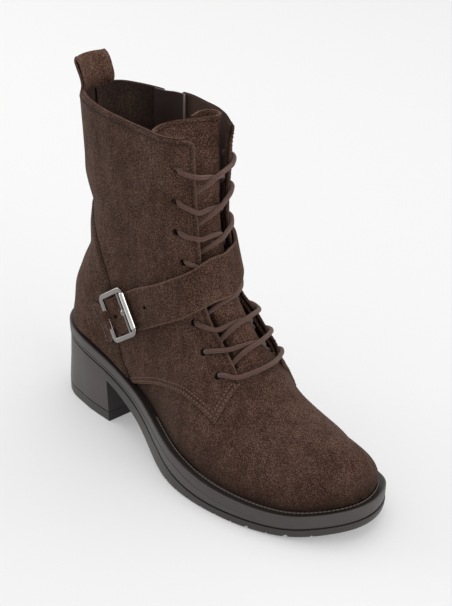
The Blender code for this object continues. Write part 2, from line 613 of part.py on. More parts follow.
def ribbon(name, slot, upper_edge, lower_edge, lifts, thick, count, cols):
    """Strip between two edges, rows of (t, a), lifted off the skin by a clearance per row."""
    rows = np.concatenate([upper_edge, lower_edge, np.asarray(lifts)[:, None]], 1)
    number = np.arange(len(rows), dtype=float)
    fine = np.linspace(0.0, number[-1], count)
    ut, ua, lt, la, lift = [spline(number, rows[:, k])(fine)[:, None] for k in range(5)]
    u = np.linspace(0.0, 1.0, cols + 1)
    t, a = ut + (lt - ut) * u, ua + (la - ua) * u
    high_view, low_view = skin(ut, ua)[..., [0, 2]], skin(lt, la)[..., [0, 2]]
    for i in range(count):
        if min(abs(ua[i, 0]), abs(la[i, 0])) > 0.3:
            between = high_view[i] + (low_view[i] - high_view[i]) * u[1:-1, None]
            t[i, 1:-1], a[i, 1:-1] = locate(between, np.sign(ua[i, 0])).T
    lift = np.broadcast_to(lift, t.shape)
    return shell(name, slot, [(form(t, a, lift + thick), form(t, a, lift), None)])


def both_sides(rows):
    """Edge of a strip that runs from the lateral to the medial side: rows of x, z, side."""
    return np.concatenate([locate([row[:2]], row[2]) for row in rows])


strap = np.array(STRAP)
ribbon("instep_strap", "suede", both_sides(strap[:, [0, 1, 4]]), both_sides(strap[:, [2, 3, 4]]), strap[:, 5],
       STRAP_THICK, 20, 3)

# Buckle, in its own frame: along the strap, across it, out from the boot.
BUCKLE_XZ = (82.3, 87.0)
BUCKLE_ALONG = 11.7
BUCKLE_ACROSS = 14.4
BUCKLE_OUT = 6.6
BUCKLE_BAR = 1.25
ROLLER = 1.75
buckle_t, buckle_a = locate([BUCKLE_XZ], -1)[0]
origin = form(buckle_t, buckle_a)
out_axis = form(buckle_t, buckle_a, 1.0) - origin
along_axis = np.array([0.82, 0.0, 0.57])
along_axis -= out_axis * (along_axis @ out_axis)
along_axis /= np.linalg.norm(along_axis)
across_axis = np.cross(along_axis, out_axis)


def on_buckle(along, across, out):
    return origin + along * along_axis + across * across_axis + out * out_axis


corner = 4.2
frame_path = []
for cx, cy, begin in ((1, 1, 0), (-1, 1, 90), (-1, -1, 180), (1, -1, 270)):
    for turn in (0, 30, 60, 90):
        angle = math.radians(begin + turn)
        frame_path.append((cx * (BUCKLE_ALONG - corner) + corner * math.cos(angle),
                           cy * (BUCKLE_ACROSS - corner) + corner * math.sin(angle)))
frame_points, frame_faces = [], []
SIDES = 8
for k, (along, across) in enumerate(frame_path):
    before, after = np.array(frame_path[k - 1]), np.array(frame_path[(k + 1) % len(frame_path)])
    tangent = (after - before) / np.linalg.norm(after - before)
    side_dir = np.array([tangent[1], -tangent[0]])
    radius = ROLLER if along > BUCKLE_ALONG - 0.6 else BUCKLE_BAR
    for m in range(SIDES):
        angle = 2 * math.pi * m / SIDES
        place = np.array([along, across]) + side_dir * radius * math.cos(angle) * 1.15
        frame_points.append(on_buckle(place[0], place[1], BUCKLE_OUT + radius * math.sin(angle)))
ring = len(frame_path)
for k in range(ring):
    for m in range(SIDES):
        a, b = k * SIDES + m, k * SIDES + (m + 1) % SIDES
        c, d = ((k + 1) % ring) * SIDES + (m + 1) % SIDES, ((k + 1) % ring) * SIDES + m
        frame_faces.append((a, b, c, d))
add_solid("buckle_frame", "nickel", frame_points, frame_faces)
PIN_ALONG = 6.6
pin_rows = [
    (-12.6, 0.8), (-2.0, 0.8), (-1.4, 1.5), (-0.6, 1.9), (0.6, 1.9), (1.4, 1.5), (2.0, 0.8), (12.6, 0.8)]
add_solid("buckle_pin", "nickel", *tube([on_buckle(PIN_ALONG, v, BUCKLE_OUT) for v, _ in pin_rows],
                                        [r for _, r in pin_rows], 8, out_axis))

# Holding strap: distance along the strap from the buckle's centre, half width, clearance.
STRAP_BASE = [
    (-32.0, 12.6, 2.75), (-25.0, 13.0, 2.75), (-19.5, 9.0, 2.75), (-16.6, 6.2, 2.9), (-14.0, 6.0, 8.3),
    (-9.6, 6.0, 8.3), (-7.6, 6.0, 5.1)]
base = np.array(STRAP_BASE)
view_along = np.array([0.82, 0.57])
view_across = np.array([-0.57, 0.82])
base_upper = locate(np.array(BUCKLE_XZ) + base[:, :1] * view_along + base[:, 1:2] * view_across, -1)
base_lower = locate(np.array(BUCKLE_XZ) + base[:, :1] * view_along - base[:, 1:2] * view_across, -1)
ribbon("strap_base", "suede", base_upper, base_lower, base[:, 2], 1.5, 16, 2)

# Pull loop at the back of the collar: x, z along the strip, and how far it follows the round of the collar.
PULL_LOOP = [
    (24.0, 196.0, 1.0), (23.7, 206.0, 1.0), (23.4, 213.0, 0.95), (21.8, 223.0, 0.8), (18.0, 230.6, 0.7),
    (13.0, 231.6, 0.65), (9.8, 226.0, 0.7), (10.6, 217.0, 0.85), (13.0, 209.0, 1.0), (14.6, 200.0, 1.0),
    (15.2, 195.0, 1.0)]
LOOP_EDGES = (-12.2, 10.2)
LOOP_THICK = 1.7
loop_path = even(PULL_LOOP, 16)
slope = np.gradient(loop_path[:, :2], axis=0)
slope /= np.linalg.norm(slope, axis=1, keepdims=True)
outward = np.stack([-slope[:, 1], slope[:, 0]], -1) * LOOP_THICK / 2
loop_y = np.linspace(*LOOP_EDGES, 5)
bow = 55.0 * (1 - np.sqrt(1 - (loop_y / SHAFT_HALF) ** 2))


def loop_sheet(sign):
    x = loop_path[:, :1] + sign * outward[:, :1] + loop_path[:, 2:] * bow
    z = np.repeat(loop_path[:, 1:2] + sign * outward[:, 1:], len(loop_y), 1)
    return np.stack([x, np.broadcast_to(loop_y, x.shape), z], -1)


shell("pull_loop", "suede", [(loop_sheet(1), loop_sheet(-1), None)])

# Zip on the medial side.
CHAIN_HALF = 2.9
CHAIN = 1.0
GUARD_HALF = 13.0
GUARD = 1.2
chain_line = even(zip_line[:-2, :2], 14)
panel("zip_chain", "zip_metal", FIT, FIT + CHAIN, np.concatenate([
    beside(chain_line, CHAIN_HALF), beside(chain_line, -CHAIN_HALF)[::-1]]), SEAM_GAP, WIDE)
guard_line = even(np.concatenate([zip_line[1:-1, :2], [(62.5, 206.0)]]), 12)
panel("zip_guard", "leather", -WALL - FIT - GUARD, -WALL - FIT, np.concatenate([
    beside(guard_line, GUARD_HALF), beside(guard_line, -GUARD_HALF)[::-1]]), SEAM_GAP, WIDE)

SLIDER_XZ = (62.4, 184.0)
slider_t, slider_a = locate([SLIDER_XZ], 1)[0]
zip_origin = form(slider_t, slider_a)
zip_out = form(slider_t, slider_a, 1.0) - zip_origin
zip_down = np.array([0.02, 0.0, -1.0])
zip_down -= zip_out * (zip_down @ zip_out)
zip_down /= np.linalg.norm(zip_down)
zip_across = np.cross(zip_down, zip_out)


def on_zip(across, down, out):
    return zip_origin + across * zip_across + down * zip_down + out * zip_out


def block(name, slot, rows):
    """Loft of rectangles down the zip: rows of down, half width, low, high."""
    points = []
    for down, half, low, high in rows:
        points += [on_zip(-half, down, low), on_zip(half, down, low)]
        points += [on_zip(half, down, high), on_zip(-half, down, high)]
    faces = [(3, 2, 1, 0), tuple(len(points) - 4 + k for k in range(4))]
    for i in range(len(rows) - 1):
        for k in range(4):
            a, b = 4 * i + k, 4 * i + (k + 1) % 4
            faces.append((a, b, b + 4, a + 4))
    return add_solid(name, slot, points, faces)


block("zip_slider", "zip_metal", [
    (-6.0, 3.6, 1.7, 3.6), (-4.5, 4.0, 1.7, 4.4), (2.0, 3.6, 1.7, 4.4), (6.0, 2.8, 1.7, 3.4)])
# The pull tab hangs from a hinge this far down from the slider's middle and out from the skin.
HINGE_DOWN, HINGE_OUT = -1.0, 5.7
block("zip_pull", "zip_metal", [
    (HINGE_DOWN - 0.7, 1.5, HINGE_OUT - 0.4, HINGE_OUT + 0.4),
    (HINGE_DOWN, 1.8, HINGE_OUT - 0.7, HINGE_OUT + 0.7),
    (6.0, 3.0, HINGE_OUT - 0.6, HINGE_OUT + 0.6), (20.0, 3.0, HINGE_OUT - 0.6, HINGE_OUT + 0.6),
    (23.0, 2.0, HINGE_OUT - 0.6, HINGE_OUT + 0.6)])

# Eyelet holes through the quarters and the wall behind them.
for side, quarter in ((-1, "quarter_lateral"), (1, "quarter_medial")):
    for target in (bpy.data.objects[quarter], upper):
        points, faces = [], []
        for t, a in eyelet_at:
            drill = [form(t, side * a, off) for off in (-6.0, 5.0)]
            hole_points, hole_faces = tube(drill, EYELET_HOLE, 6)
            faces += [tuple(v + len(points) for v in face) for face in hole_faces]
            points += hole_points
        combine(target, add_solid("eyelet_drill", "suede", points, faces), 'DIFFERENCE')
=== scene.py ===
import math
import bpy
import numpy as np
from mathutils import Matrix, Vector, geometry


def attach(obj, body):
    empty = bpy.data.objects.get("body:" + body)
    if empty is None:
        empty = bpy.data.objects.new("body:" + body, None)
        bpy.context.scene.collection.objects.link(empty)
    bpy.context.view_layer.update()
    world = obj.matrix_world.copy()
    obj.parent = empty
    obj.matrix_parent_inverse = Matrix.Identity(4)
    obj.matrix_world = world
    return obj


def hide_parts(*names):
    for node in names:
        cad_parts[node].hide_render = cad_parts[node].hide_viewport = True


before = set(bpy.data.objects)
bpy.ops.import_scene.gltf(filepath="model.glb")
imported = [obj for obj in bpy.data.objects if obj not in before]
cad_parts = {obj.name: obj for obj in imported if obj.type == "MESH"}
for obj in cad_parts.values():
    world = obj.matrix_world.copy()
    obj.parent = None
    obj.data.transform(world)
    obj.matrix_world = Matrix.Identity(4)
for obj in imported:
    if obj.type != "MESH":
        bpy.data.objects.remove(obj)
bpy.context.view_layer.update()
bpy.ops.object.select_all(action='DESELECT')
print("frame loaded")

# The last: sizes in mm, x from the back of the sole, y to the inner side, z up from the floor.
last = {
    "centre": (129.166, -1.489, 0.0), "middle": (85.0, 0.0, 90.0), "fit": 0.3, "wall": 1.8, "panel": 1.3,
    "counter": 2.1, "ledge": 5.6, "heelLedge": 3.4, "seat": 0.75, "heelX": 62.5, "shaftHalf": 27.0,
    "bulge": 1.5, "ridge": 0.5, "heelRound": (32.0, 23.0), "bulgeShare": 0.7,
    # where a change runs from and to: in x, in z, then in sections
    "ledgeX": (40.0, 120.0), "middleX": (20.0, 80.0), "shaftZ": (62.0, 135.0), "roundZ": (75.0, 160.0),
    "crownRows": (3.0, 8.0), "ridgeRows": (7.0, 11.0), "riseRow": 15.0,
    "outline": [  # sole from above: x, y
        (0.0, 0.3), (9.5, -20.0), (36.0, -31.5), (94.0, -34.6), (148.0, -49.6), (191.0, -48.8),
        (230.0, -36.2), (254.0, -14.5), (259.8, 7.0), (248.5, 30.0), (227.5, 40.8), (190.0, 47.6),
        (110.0, 28.8), (36.0, 32.4), (9.5, 22.0)],
    "side": [  # sole from the side: x, underside, seam, top of the welt
        (0.0, 38.0, 45.4, 54.5), (40.0, 34.2, 42.2, 51.4), (66.0, 29.9, 37.0, 46.2), (95.0, 16.9, 27.0, 37.4),
        (125.0, 2.4, 15.5, 29.6), (150.0, 0.0, 8.4, 23.6), (172.0, 0.0, 5.6, 19.0), (200.0, 0.0, 5.2, 16.3),
        (235.0, 2.4, 7.4, 16.8), (260.0, 8.0, 13.0, 22.5)],
    "backSeam": [  # z, x
        (50.0, 5.2), (58.0, 4.6), (68.0, 5.4), (82.0, 10.0), (98.0, 18.6), (115.0, 23.6), (132.0, 23.8),
        (152.0, 22.0), (178.0, 20.4), (210.5, 18.0)],
    "seatRows": [  # sections from the welt: base x, crown x, crown z, share that rounds over
        (254.4, 253.6, 22.5, 1.00), (251.8, 253.4, 30.5, 1.00), (246.4, 250.6, 39.5, 1.00),
        (238.0, 243.5, 46.6, 1.00), (227.0, 233.0, 50.8, 1.00), (213.0, 218.5, 54.2, 1.00),
        (196.0, 202.5, 59.6, 1.00), (176.0, 187.5, 68.4, 0.98), (154.0, 174.5, 79.4, 0.92),
        (130.0, 163.5, 91.0, 0.80), (104.0, 153.5, 103.0, 0.62), (76.0, 146.0, 117.5, 0.47),
        (48.0, 141.0, 133.5, 0.37), (22.0, 137.6, 148.0, 0.31), (5.0, 136.0, 158.0, 0.28)],
    "backRows": [  # sections from the back seam: base z, crown x, crown z, share that rounds over
        (68.0, 135.2, 167.0, 0.26), (84.0, 134.8, 175.5, 0.25), (103.0, 134.6, 183.5, 0.24),
        (125.0, 134.5, 191.0, 0.23), (150.0, 134.5, 198.0, 0.22), (178.0, 134.7, 204.5, 0.22),
        (210.5, 135.0, 210.5, 0.22)],
    "collarRise": {  # how far the top edge bows up: x, rise
        -1: [(18.0, 0.0), (30.0, 2.4), (46.0, 3.4), (62.0, 3.0), (90.0, 1.3), (115.0, 0.3), (131.0, 0.0)],
        1: [(18.0, 0.8), (26.0, 1.8), (36.0, 1.3), (48.0, 0.7), (58.0, 0.5), (66.0, 1.8), (77.0, 2.8),
            (92.0, 2.3), (104.0, 1.7), (110.0, 0.3), (118.0, -2.0), (124.0, -2.0), (131.0, 0.0)]},
    "creases": [  # side (0 both), from x, z to x, z, depth, half width
        (0, 12.0, 137.0, 34.0, 141.0, -2.4, 15.0), (0, 14.0, 140.0, 50.0, 147.0, -0.8, 6.0),
        (0, 18.0, 160.0, 44.0, 166.0, 0.5, 7.0), (-1, 62.0, 196.0, 66.0, 150.0, -0.7, 7.0),
        (-1, 84.0, 182.0, 92.0, 138.0, 0.7, 9.0), (-1, 100.0, 150.0, 118.0, 128.0, -0.7, 6.0),
        (-1, 92.0, 92.0, 112.0, 72.0, -0.7, 7.0), (1, 96.0, 168.0, 112.0, 120.0, -0.8, 8.0),
        (1, 40.0, 190.0, 44.0, 150.0, -0.7, 8.0), (-1, 178.0, 52.0, 196.0, 34.0, -0.5, 7.0),
        (1, 176.0, 54.0, 194.0, 36.0, -0.6, 7.0), (0, 205.0, 58.0, 196.0, 52.0, -0.5, 9.0),
        (1, 122.0, 197.0, 136.0, 112.0, -3.4, 16.0), (0, 14.0, 114.0, 34.0, 116.0, -2.2, 9.0),
        (0, 2.0, 70.0, 58.0, 66.0, -3.3, 17.0), (1, 186.0, 56.0, 216.0, 38.0, -2.2, 12.0)],
}


def smoothStep(low, high, x):
    u = np.clip((x - low) / (high - low), 0.0, 1.0)
    return u * u * (3 - 2 * u)


def quarterRound(u):
    return np.sqrt(np.clip(1 - (1 - np.clip(u, 0.0, 1.0)) ** 2, 0.0, 1.0))


def unit(vectors):
    return vectors / np.linalg.norm(vectors, axis=-1, keepdims=True)


def runOf(curve):  # distance along a polyline at each of its points
    return np.r_[0.0, np.cumsum(np.linalg.norm(np.diff(curve, axis=0), axis=1))]


def within(rows, t):  # rises over the first two rows and falls over the last two
    return smoothStep(*rows[:2], t) * (1 - smoothStep(*rows[2:], t))


def toScene(points):  # mm on the last to metres in the scene
    return (np.asarray(points, float) - np.array(last["centre"])) * 0.001


def turns(count):
    return 2 * math.pi * np.arange(count) / count


def circle(x, y, radius, angles):
    return np.stack([x + radius * np.cos(angles), y + radius * np.sin(angles)], -1)


def spline(xs, ys):  # smooth curve y(x) through a short table
    xs, ys = np.asarray(xs, float), np.asarray(ys, float)
    slope = np.gradient(ys, xs)

    def at(x):
        x = np.clip(x, xs[0], xs[-1])
        i = np.clip(np.searchsorted(xs, x) - 1, 0, len(xs) - 2)
        step = xs[i + 1] - xs[i]
        u = (x - xs[i]) / step
        start = (1 + 2 * u) * (1 - u) ** 2 * ys[i] + u * (1 - u) ** 2 * step * slope[i]
        return start + u * u * (3 - 2 * u) * ys[i + 1] + u * u * (u - 1) * step * slope[i + 1]
    return at


def resample(curve, count):  # count points at even spacing on a polyline
    curve = np.asarray(curve, float)
    run = runOf(curve)
    want = np.linspace(0.0, run[-1], count)
    return np.stack([np.interp(want, run, column) for column in curve.T], -1)


def even(points, count):  # count points at even spacing on a smooth curve through the points
    points = np.asarray(points, float)
    run = runOf(points)
    dense = np.linspace(0.0, run[-1], 600)
    return resample(np.stack([spline(run, column)(dense) for column in points.T], -1), count)


def closedCurve(points, count):
    p = np.asarray(points, float)
    u = (np.arange(40) / 40.0)[:, None]
    parts = []
    for i in range(len(p)):
        a, b, c, d = p[i - 1], p[i], p[(i + 1) % len(p)], p[(i + 2) % len(p)]
        parts.append(b + 0.5 * u * (c - a + u * (2 * a - 5 * b + 4 * c - d + u * (3 * (b - c) + d - a))))
    dense = np.concatenate(parts)
    return resample(np.r_[dense, dense[:1]], count + 1)[:-1]


def inset(loop, distance):  # an outline moved inwards
    along = unit(np.roll(loop, -1, 0) - np.roll(loop, 1, 0))
    inward = np.stack([-along[:, 1], along[:, 0]], -1)
    return loop + inward * np.broadcast_to(distance, len(loop))[:, None]


def beside(points, away):  # an edge moved to the right of its direction
    along = unit(np.gradient(points, axis=0))
    return points + np.stack([along[:, 1], -along[:, 0]], -1) * away


sideX, *sideRows = np.array(last["side"]).T
bottomCurve, soleSeam, soleTop = [spline(sideX, row) for row in sideRows]
outline = closedCurve(last["outline"], 720)


def soleBottom(x):
    return np.maximum(bottomCurve(x), 0.0)


def ledgeAt(x):
    return last["heelLedge"] + (last["ledge"] - last["heelLedge"]) * smoothStep(*last["ledgeX"], x)


def chains(loop):  # lateral and medial edge of an outline as y(x)
    split = np.interp(loop[:, 0], [0.0, 260.0], [0.3, 3.1])
    halves = [loop[loop[:, 1] < split], loop[loop[:, 1] >= split]]
    halves = [half[np.argsort(half[:, 0])] for half in halves]
    return [lambda x, half=half: np.interp(x, *half.T) for half in halves]


feather = inset(outline, ledgeAt(outline[:, 0]))
featherLateral, featherMedial = chains(feather)
backX = spline(*np.array(last["backSeam"]).T)
seatRows, backRows = np.array(last["seatRows"]), np.array(last["backRows"])
seatRows[0, 0] = feather[:, 0].max()
heelStation = len(seatRows) - 1
collar = heelStation + len(backRows)
stations = np.arange(collar + 1.0)
seatX = spline(stations[:heelStation + 1], seatRows[:, 0])
backZ = spline(stations[heelStation:], np.r_[soleTop(seatRows[-1, 0]) + last["seat"], backRows[:, 0]])
crownX, crownZ, crownRound = [spline(stations, np.r_[seatRows[:, k], backRows[:, k]]) for k in (1, 2, 3)]
collarRise = {side: spline(*np.array(table).T) for side, table in last["collarRise"].items()}


def basePoint(t):  # where section t starts, on the welt and then up the back seam
    onSeat = t <= heelStation
    x = seatX(t)
    z = np.where(onSeat, soleTop(x) + last["seat"], backZ(t))
    return np.where(onSeat, x, backX(z)), z


def goAt(t, h):
    rise = smoothStep(heelStation - 2.0, heelStation, t)
    return (1 - rise) * np.sin(math.pi * h / 2) + rise * (1 - np.cos(math.pi * h)) / 2


def skin(t, a):  # t from toe to collar, a from -1 (lateral base) over 0 (crown) to 1
    t, a = np.broadcast_arrays(np.asarray(t, float), np.asarray(a, float))
    bx, bz = basePoint(t)
    go = goAt(t, 1 - np.abs(a))
    x, z = bx + (crownX(t) - bx) * go, bz + (crownZ(t) - bz) * go
    z = z + smoothStep(last["riseRow"], collar, t) * np.where(a < 0, collarRise[-1](x), collarRise[1](x))
    footX = np.maximum(bx, last["heelX"])
    footHalf = (featherMedial(footX) - featherLateral(footX)) / 2
    footMid = (featherMedial(footX) + featherLateral(footX)) / 2
    footMid = footMid * smoothStep(*last["middleX"], bx) * (1 - go * smoothStep(*last["crownRows"], t))
    half = footHalf + (last["shaftHalf"] - footHalf) * smoothStep(*last["shaftZ"], z)
    half = half + last["bulge"] * np.sin(math.pi * np.clip(go / last["bulgeShare"], 0.0, 1.0))
    heelRound = last["heelRound"][0] + last["heelRound"][1] * smoothStep(*last["roundZ"], z)
    lean = 2.0 - last["ridge"] * (1 - smoothStep(*last["ridgeRows"], t))
    over = np.sqrt(np.clip(1 - np.clip(1 - (1 - go) / crownRound(t), 0.0, 1.0) ** lean, 0.0, 1.0))
    half = half * quarterRound((x - backX(z)) / heelRound) * over
    return np.stack([x, footMid + np.sign(a) * half, z], -1)


def creaseAt(p):  # soft troughs and ridges of the suede
    total = np.zeros(p.shape[:-1])
    for side, x0, z0, x1, z1, depth, width in last["creases"]:
        start, along = np.array([x0, z0]), np.array([x1 - x0, z1 - z0])
        flat = p[..., [0, 2]] - start
        u = np.clip(flat @ along / (along @ along), 0.0, 1.0)
        away = np.linalg.norm(flat - u[..., None] * along, axis=-1)
        share = 1.0 if side == 0 else smoothStep(-3.0, 6.0, side * p[..., 1])
        total += depth * share * np.exp(-(away / width) ** 2)
    return total


def form(t, a, off=0.0):  # skin moved out by off along its normal
    t, a, off = np.broadcast_arrays(*[np.asarray(v, float) for v in (t, a, off)])
    point = skin(t, a)
    step = 1e-3
    t0, t1 = np.maximum(t - step, 0.004), np.minimum(t + step, collar)
    inside = np.where(t < heelStation, np.clip(a, -0.965, 0.965), a)
    a0, a1 = np.maximum(inside - step, -1.0), np.minimum(inside + step, 1.0)
    normal = np.cross(skin(t, a1) - skin(t, a0), skin(t1, inside) - skin(t0, inside))
    seam = (np.abs(a) > 0.9999) & (t >= heelStation)
    normal[..., 1] = np.where(seam, 0.0, normal[..., 1])
    normal /= np.maximum(np.linalg.norm(normal, axis=-1, keepdims=True), 1e-12)
    normal = np.where((t < 0.02)[..., None], np.array([1.0, 0.0, 0.0]), normal)
    return point + normal * (off + creaseAt(point))[..., None]


def sideView(t, go):
    bx, bz = basePoint(t)
    return np.stack([bx + (crownX(t) - bx) * go, bz + (crownZ(t) - bz) * go], -1)


gridT, gridGo = np.meshgrid(np.linspace(0, collar, 211), np.linspace(0, 1, 41), indexing="ij")
gridT, gridGo = gridT.ravel(), gridGo.ravel()
gridView = sideView(gridT, gridGo)


def locate(points, side):  # station and turn of the skin points seen from the side at x, z
    want = np.asarray(points, float)
    k = np.array([np.argmin(((gridView - w) ** 2).sum(-1)) for w in want])
    t, go = gridT[k], gridGo[k]
    for _ in range(14):
        byT = (sideView(t + 1e-4, go) - sideView(t - 1e-4, go)) / 2e-4
        byGo = (sideView(t, go + 1e-4) - sideView(t, go - 1e-4)) / 2e-4
        miss = want - sideView(t, go)
        det = byT[:, 0] * byGo[:, 1] - byT[:, 1] * byGo[:, 0]
        det = np.where(np.abs(det) < 1e-6, 1e-6, det)
        stepT = (miss[:, 0] * byGo[:, 1] - miss[:, 1] * byGo[:, 0]) / det
        stepGo = (byT[:, 0] * miss[:, 1] - byT[:, 1] * miss[:, 0]) / det
        t = np.clip(t + np.clip(stepT, -0.4, 0.4), 0, collar)
        go = np.clip(go + np.clip(stepGo, -0.2, 0.2), 0, 1)
    h = np.linspace(0.0, 1.0, 2001)
    turn = np.array([np.interp(g, goAt(s, h), h) for s, g in zip(t, go)])
    return np.stack([t, side * (1 - turn)], -1)


# Shader sockets that take part in Python sums.
class Tap:
    def __init__(self, paint, socket):
        self.paint, self.socket = paint, socket

    def sum(self, operation, first, second):
        made = self.paint.node('ShaderNodeMath', {"operation": operation}, {0: first, 1: second})
        return Tap(self.paint, made.outputs[0])

    def __add__(self, other):
        return self.sum('ADD', self, other)

    def __sub__(self, other):
        return self.sum('SUBTRACT', self, other)

    def __mul__(self, other):
        return self.sum('MULTIPLY', self, other)

    def __rsub__(self, other):
        return self.sum('SUBTRACT', other, self)

    __radd__ = __add__
    __rmul__ = __mul__


class Paint:  # one material and its nodes
    def __init__(self, name):
        self.material = bpy.data.materials.new(name)
        self.material.use_nodes = True
        self.tree = self.material.node_tree
        self.shader = self.tree.nodes["Principled BSDF"]

    def node(self, kind, settings, sockets):
        made = self.tree.nodes.new(kind)
        for key, value in settings.items():
            if key == "stops":
                ramp = made.color_ramp.elements
                while len(ramp) < len(value):
                    ramp.new(1.0)
                for stop, (place, colour) in zip(ramp, value):
                    stop.position, stop.color = place, (*colour, 1.0)
            else:
                setattr(made, key, value)
        for key, value in sockets.items():
            self.put(made.inputs[key], value)
        return made

    def put(self, socket, value):
        if isinstance(value, Tap):
            self.tree.links.new(value.socket, socket)
        else:
            socket.default_value = value

    def tap(self, kind, settings, sockets, output=0):
        return Tap(self, self.node(kind, settings, sockets).outputs[output])

    def place(self, scale=(1.0, 1.0, 1.0), turn=(0.0, 0.0, 0.0)):
        here = self.tap('ShaderNodeTexCoord', {}, {}, "Object")
        return self.tap('ShaderNodeMapping', {}, {"Vector": here, "Scale": scale, "Rotation": turn})

    def noise(self, where, scale, detail=2.0, rough=0.5, bend=0.0):
        return self.tap('ShaderNodeTexNoise', {}, {
            "Vector": where, "Scale": scale, "Detail": detail, "Roughness": rough, "Distortion": bend})

    def ramp(self, value, stops):
        return self.tap('ShaderNodeValToRGB', {"stops": stops}, {"Fac": value})

    def mix(self, share, first, second, blend='MIX'):
        made = self.node('ShaderNodeMix', {"data_type": 'RGBA', "blend_type": blend},
                         {0: share, 6: first, 7: second})
        return Tap(self, made.outputs[2])

    def attribute(self, name):
        return self.tap('ShaderNodeAttribute', {"attribute_name": name}, {}, "Fac")

    def bump(self, height, distance, strength):
        return self.tap('ShaderNodeBump', {}, {"Height": height, "Distance": distance, "Strength": strength})

    def finish(self, **sockets):
        for key, value in sockets.items():
            self.put(self.shader.inputs[key.replace("_", " ")], value)
        return self.material


def tinted(colour, by=1.0):
    return (*[c * by for c in colour], 1.0)


suedeLook = {
    "dark": (0.0165, 0.0070, 0.0044), "mid": (0.0465, 0.0211, 0.0135), "light": (0.126, 0.077, 0.058),
    "edge": (0.150, 0.094, 0.068), "sheen": (0.55, 0.40, 0.31), "sheenWeight": 0.06, "speckle": 1600.0,
    "fibre": 3000.0, "patch": 48.0, "brush": 190.0}


def suedeMaterial(name, tone=1.0):
    paint = Paint(name)
    look = suedeLook
    here = paint.place()
    speckle = paint.noise(here, look["speckle"], 2.5, 0.62)
    fibre = paint.noise(paint.place((1.0, 1.0, 0.45), (0.0, 0.5, 0.0)), look["fibre"], 1.0, 0.5)
    patch = paint.noise(here, look["patch"], 3.0, 0.55, 0.4)
    brushed = paint.noise(paint.place((1.0, 1.0, 0.4), (0.0, 0.9, 0.3)), look["brush"], 2.0, 0.55)
    nap = speckle * 1.15 + fibre * 0.4 + patch * 0.24 + brushed * 0.2 - 0.495
    colour = paint.ramp(nap, [(0.31, look["dark"]), (0.5, look["mid"]), (0.69, look["light"])])
    # A tone above 1 paints the whole copy lighter.
    colour = paint.mix(1.0, colour, (tone, tone, tone, 1.0), 'MULTIPLY')
    colour = paint.mix(paint.attribute("edge") * (0.42 + speckle * 0.5), colour, tinted(look["edge"]))
    # Painted shade: the seam mark darkens the stitch troughs, the foot mark the suede along the welt and the
    # counter's front edge; the foot mark also darkens the rims.
    for shadow, share in (("seam", 0.3), ("foot", 0.9)):
        colour = paint.mix(paint.attribute(shadow) * share, colour, tinted(look["dark"]))
    return paint.finish(Base_Color=colour, Roughness=0.95, Sheen_Weight=look["sheenWeight"],
                        Sheen_Roughness=0.45, Sheen_Tint=tinted(look["sheen"]), Specular_IOR_Level=0.15,
                        Normal=paint.bump(speckle * 0.7 + fibre * 0.3, 0.0006, 0.55))


suede = suedeMaterial("suedeBrown")
# The tongue and loop copies are painted lighter: painted light on these parts.
suedeTongue, suedeLoop = suedeMaterial("suedeTongue", 1.3), suedeMaterial("suedeLoop", 1.5)
liningLook = {"fleck": 700.0, "cloud": 45.0, "worn": (0.085, 0.047, 0.035), "shades": [
    (0.32, (0.012, 0.0064, 0.0048)), (0.52, (0.036, 0.0198, 0.0146)), (0.72, (0.085, 0.050, 0.038))]}


def liningMaterial():
    paint = Paint("liningDark")
    here = paint.place()
    fleck = paint.noise(here, liningLook["fleck"], 2.0)
    cloud = paint.noise(here, liningLook["cloud"], 3.0)
    colour = paint.ramp(fleck * 0.5 + cloud * 0.5, liningLook["shades"])
    # Paler lining where the upper's mark says so.
    colour = paint.mix(paint.attribute("worn"), colour, tinted(liningLook["worn"]))
    return paint.finish(Base_Color=colour, Roughness=0.8, Specular_IOR_Level=0.25,
                        Normal=paint.bump(fleck, 0.0003, 0.35))


lining = liningMaterial()
leatherLook = {"grain": 900.0, "cloud": 60.0, "cutEdge": (0.28, 0.22, 0.19)}


def leatherMaterial(name, colour, rough):
    paint = Paint(name)
    here = paint.place()
    grain = paint.tap('ShaderNodeTexVoronoi', {"feature": 'DISTANCE_TO_EDGE'},
                      {"Vector": here, "Scale": leatherLook["grain"]})
    cloud = paint.noise(here, leatherLook["cloud"], 3.0)
    shade = paint.mix(cloud, tinted(colour, 0.7), tinted(colour, 1.35))
    shade = paint.mix(paint.attribute("edge"), shade, tinted(leatherLook["cutEdge"]))
    return paint.finish(Base_Color=shade, Roughness=rough + cloud * 0.15, Specular_IOR_Level=0.4,
                        Normal=paint.bump(grain, 0.0002, 0.25))


smoothLeather = leatherMaterial("smoothLeather", (0.040, 0.0245, 0.0210), 0.42)
insoleLeather = leatherMaterial("insoleLeather", (0.030, 0.020, 0.016), 0.5)
rubberLook = {"cloud": 55.0, "grit": 1500.0, "brush": 1700.0, "shadow": (0.0090, 0.0060, 0.0048)}


def rubberMaterial(name, colour, lines):
    paint = Paint(name)
    here = paint.place()
    cloud = paint.noise(here, rubberLook["cloud"], 4.0, 0.6)
    grit = paint.noise(here, rubberLook["grit"], 2.0)
    brushed = paint.noise(paint.place((0.06, 0.06, 1.0)), rubberLook["brush"], 2.0, 0.6)
    streak = cloud * 0.45 + grit * 0.2 + brushed * (lines * 0.5)
    shade = paint.mix(streak, tinted(colour, 0.62), tinted(colour, 1.3))
    # The foot mark paints shade on the welt's ledge beside the upper and on the heel's breast.
    shade = paint.mix(paint.attribute("foot"), shade, tinted(rubberLook["shadow"]))
    return paint.finish(Base_Color=shade, Roughness=0.36 + cloud * 0.16 + grit * 0.1, Specular_IOR_Level=0.45,
                        Normal=paint.bump(brushed * lines + grit * 0.3, 0.00025, 0.3))


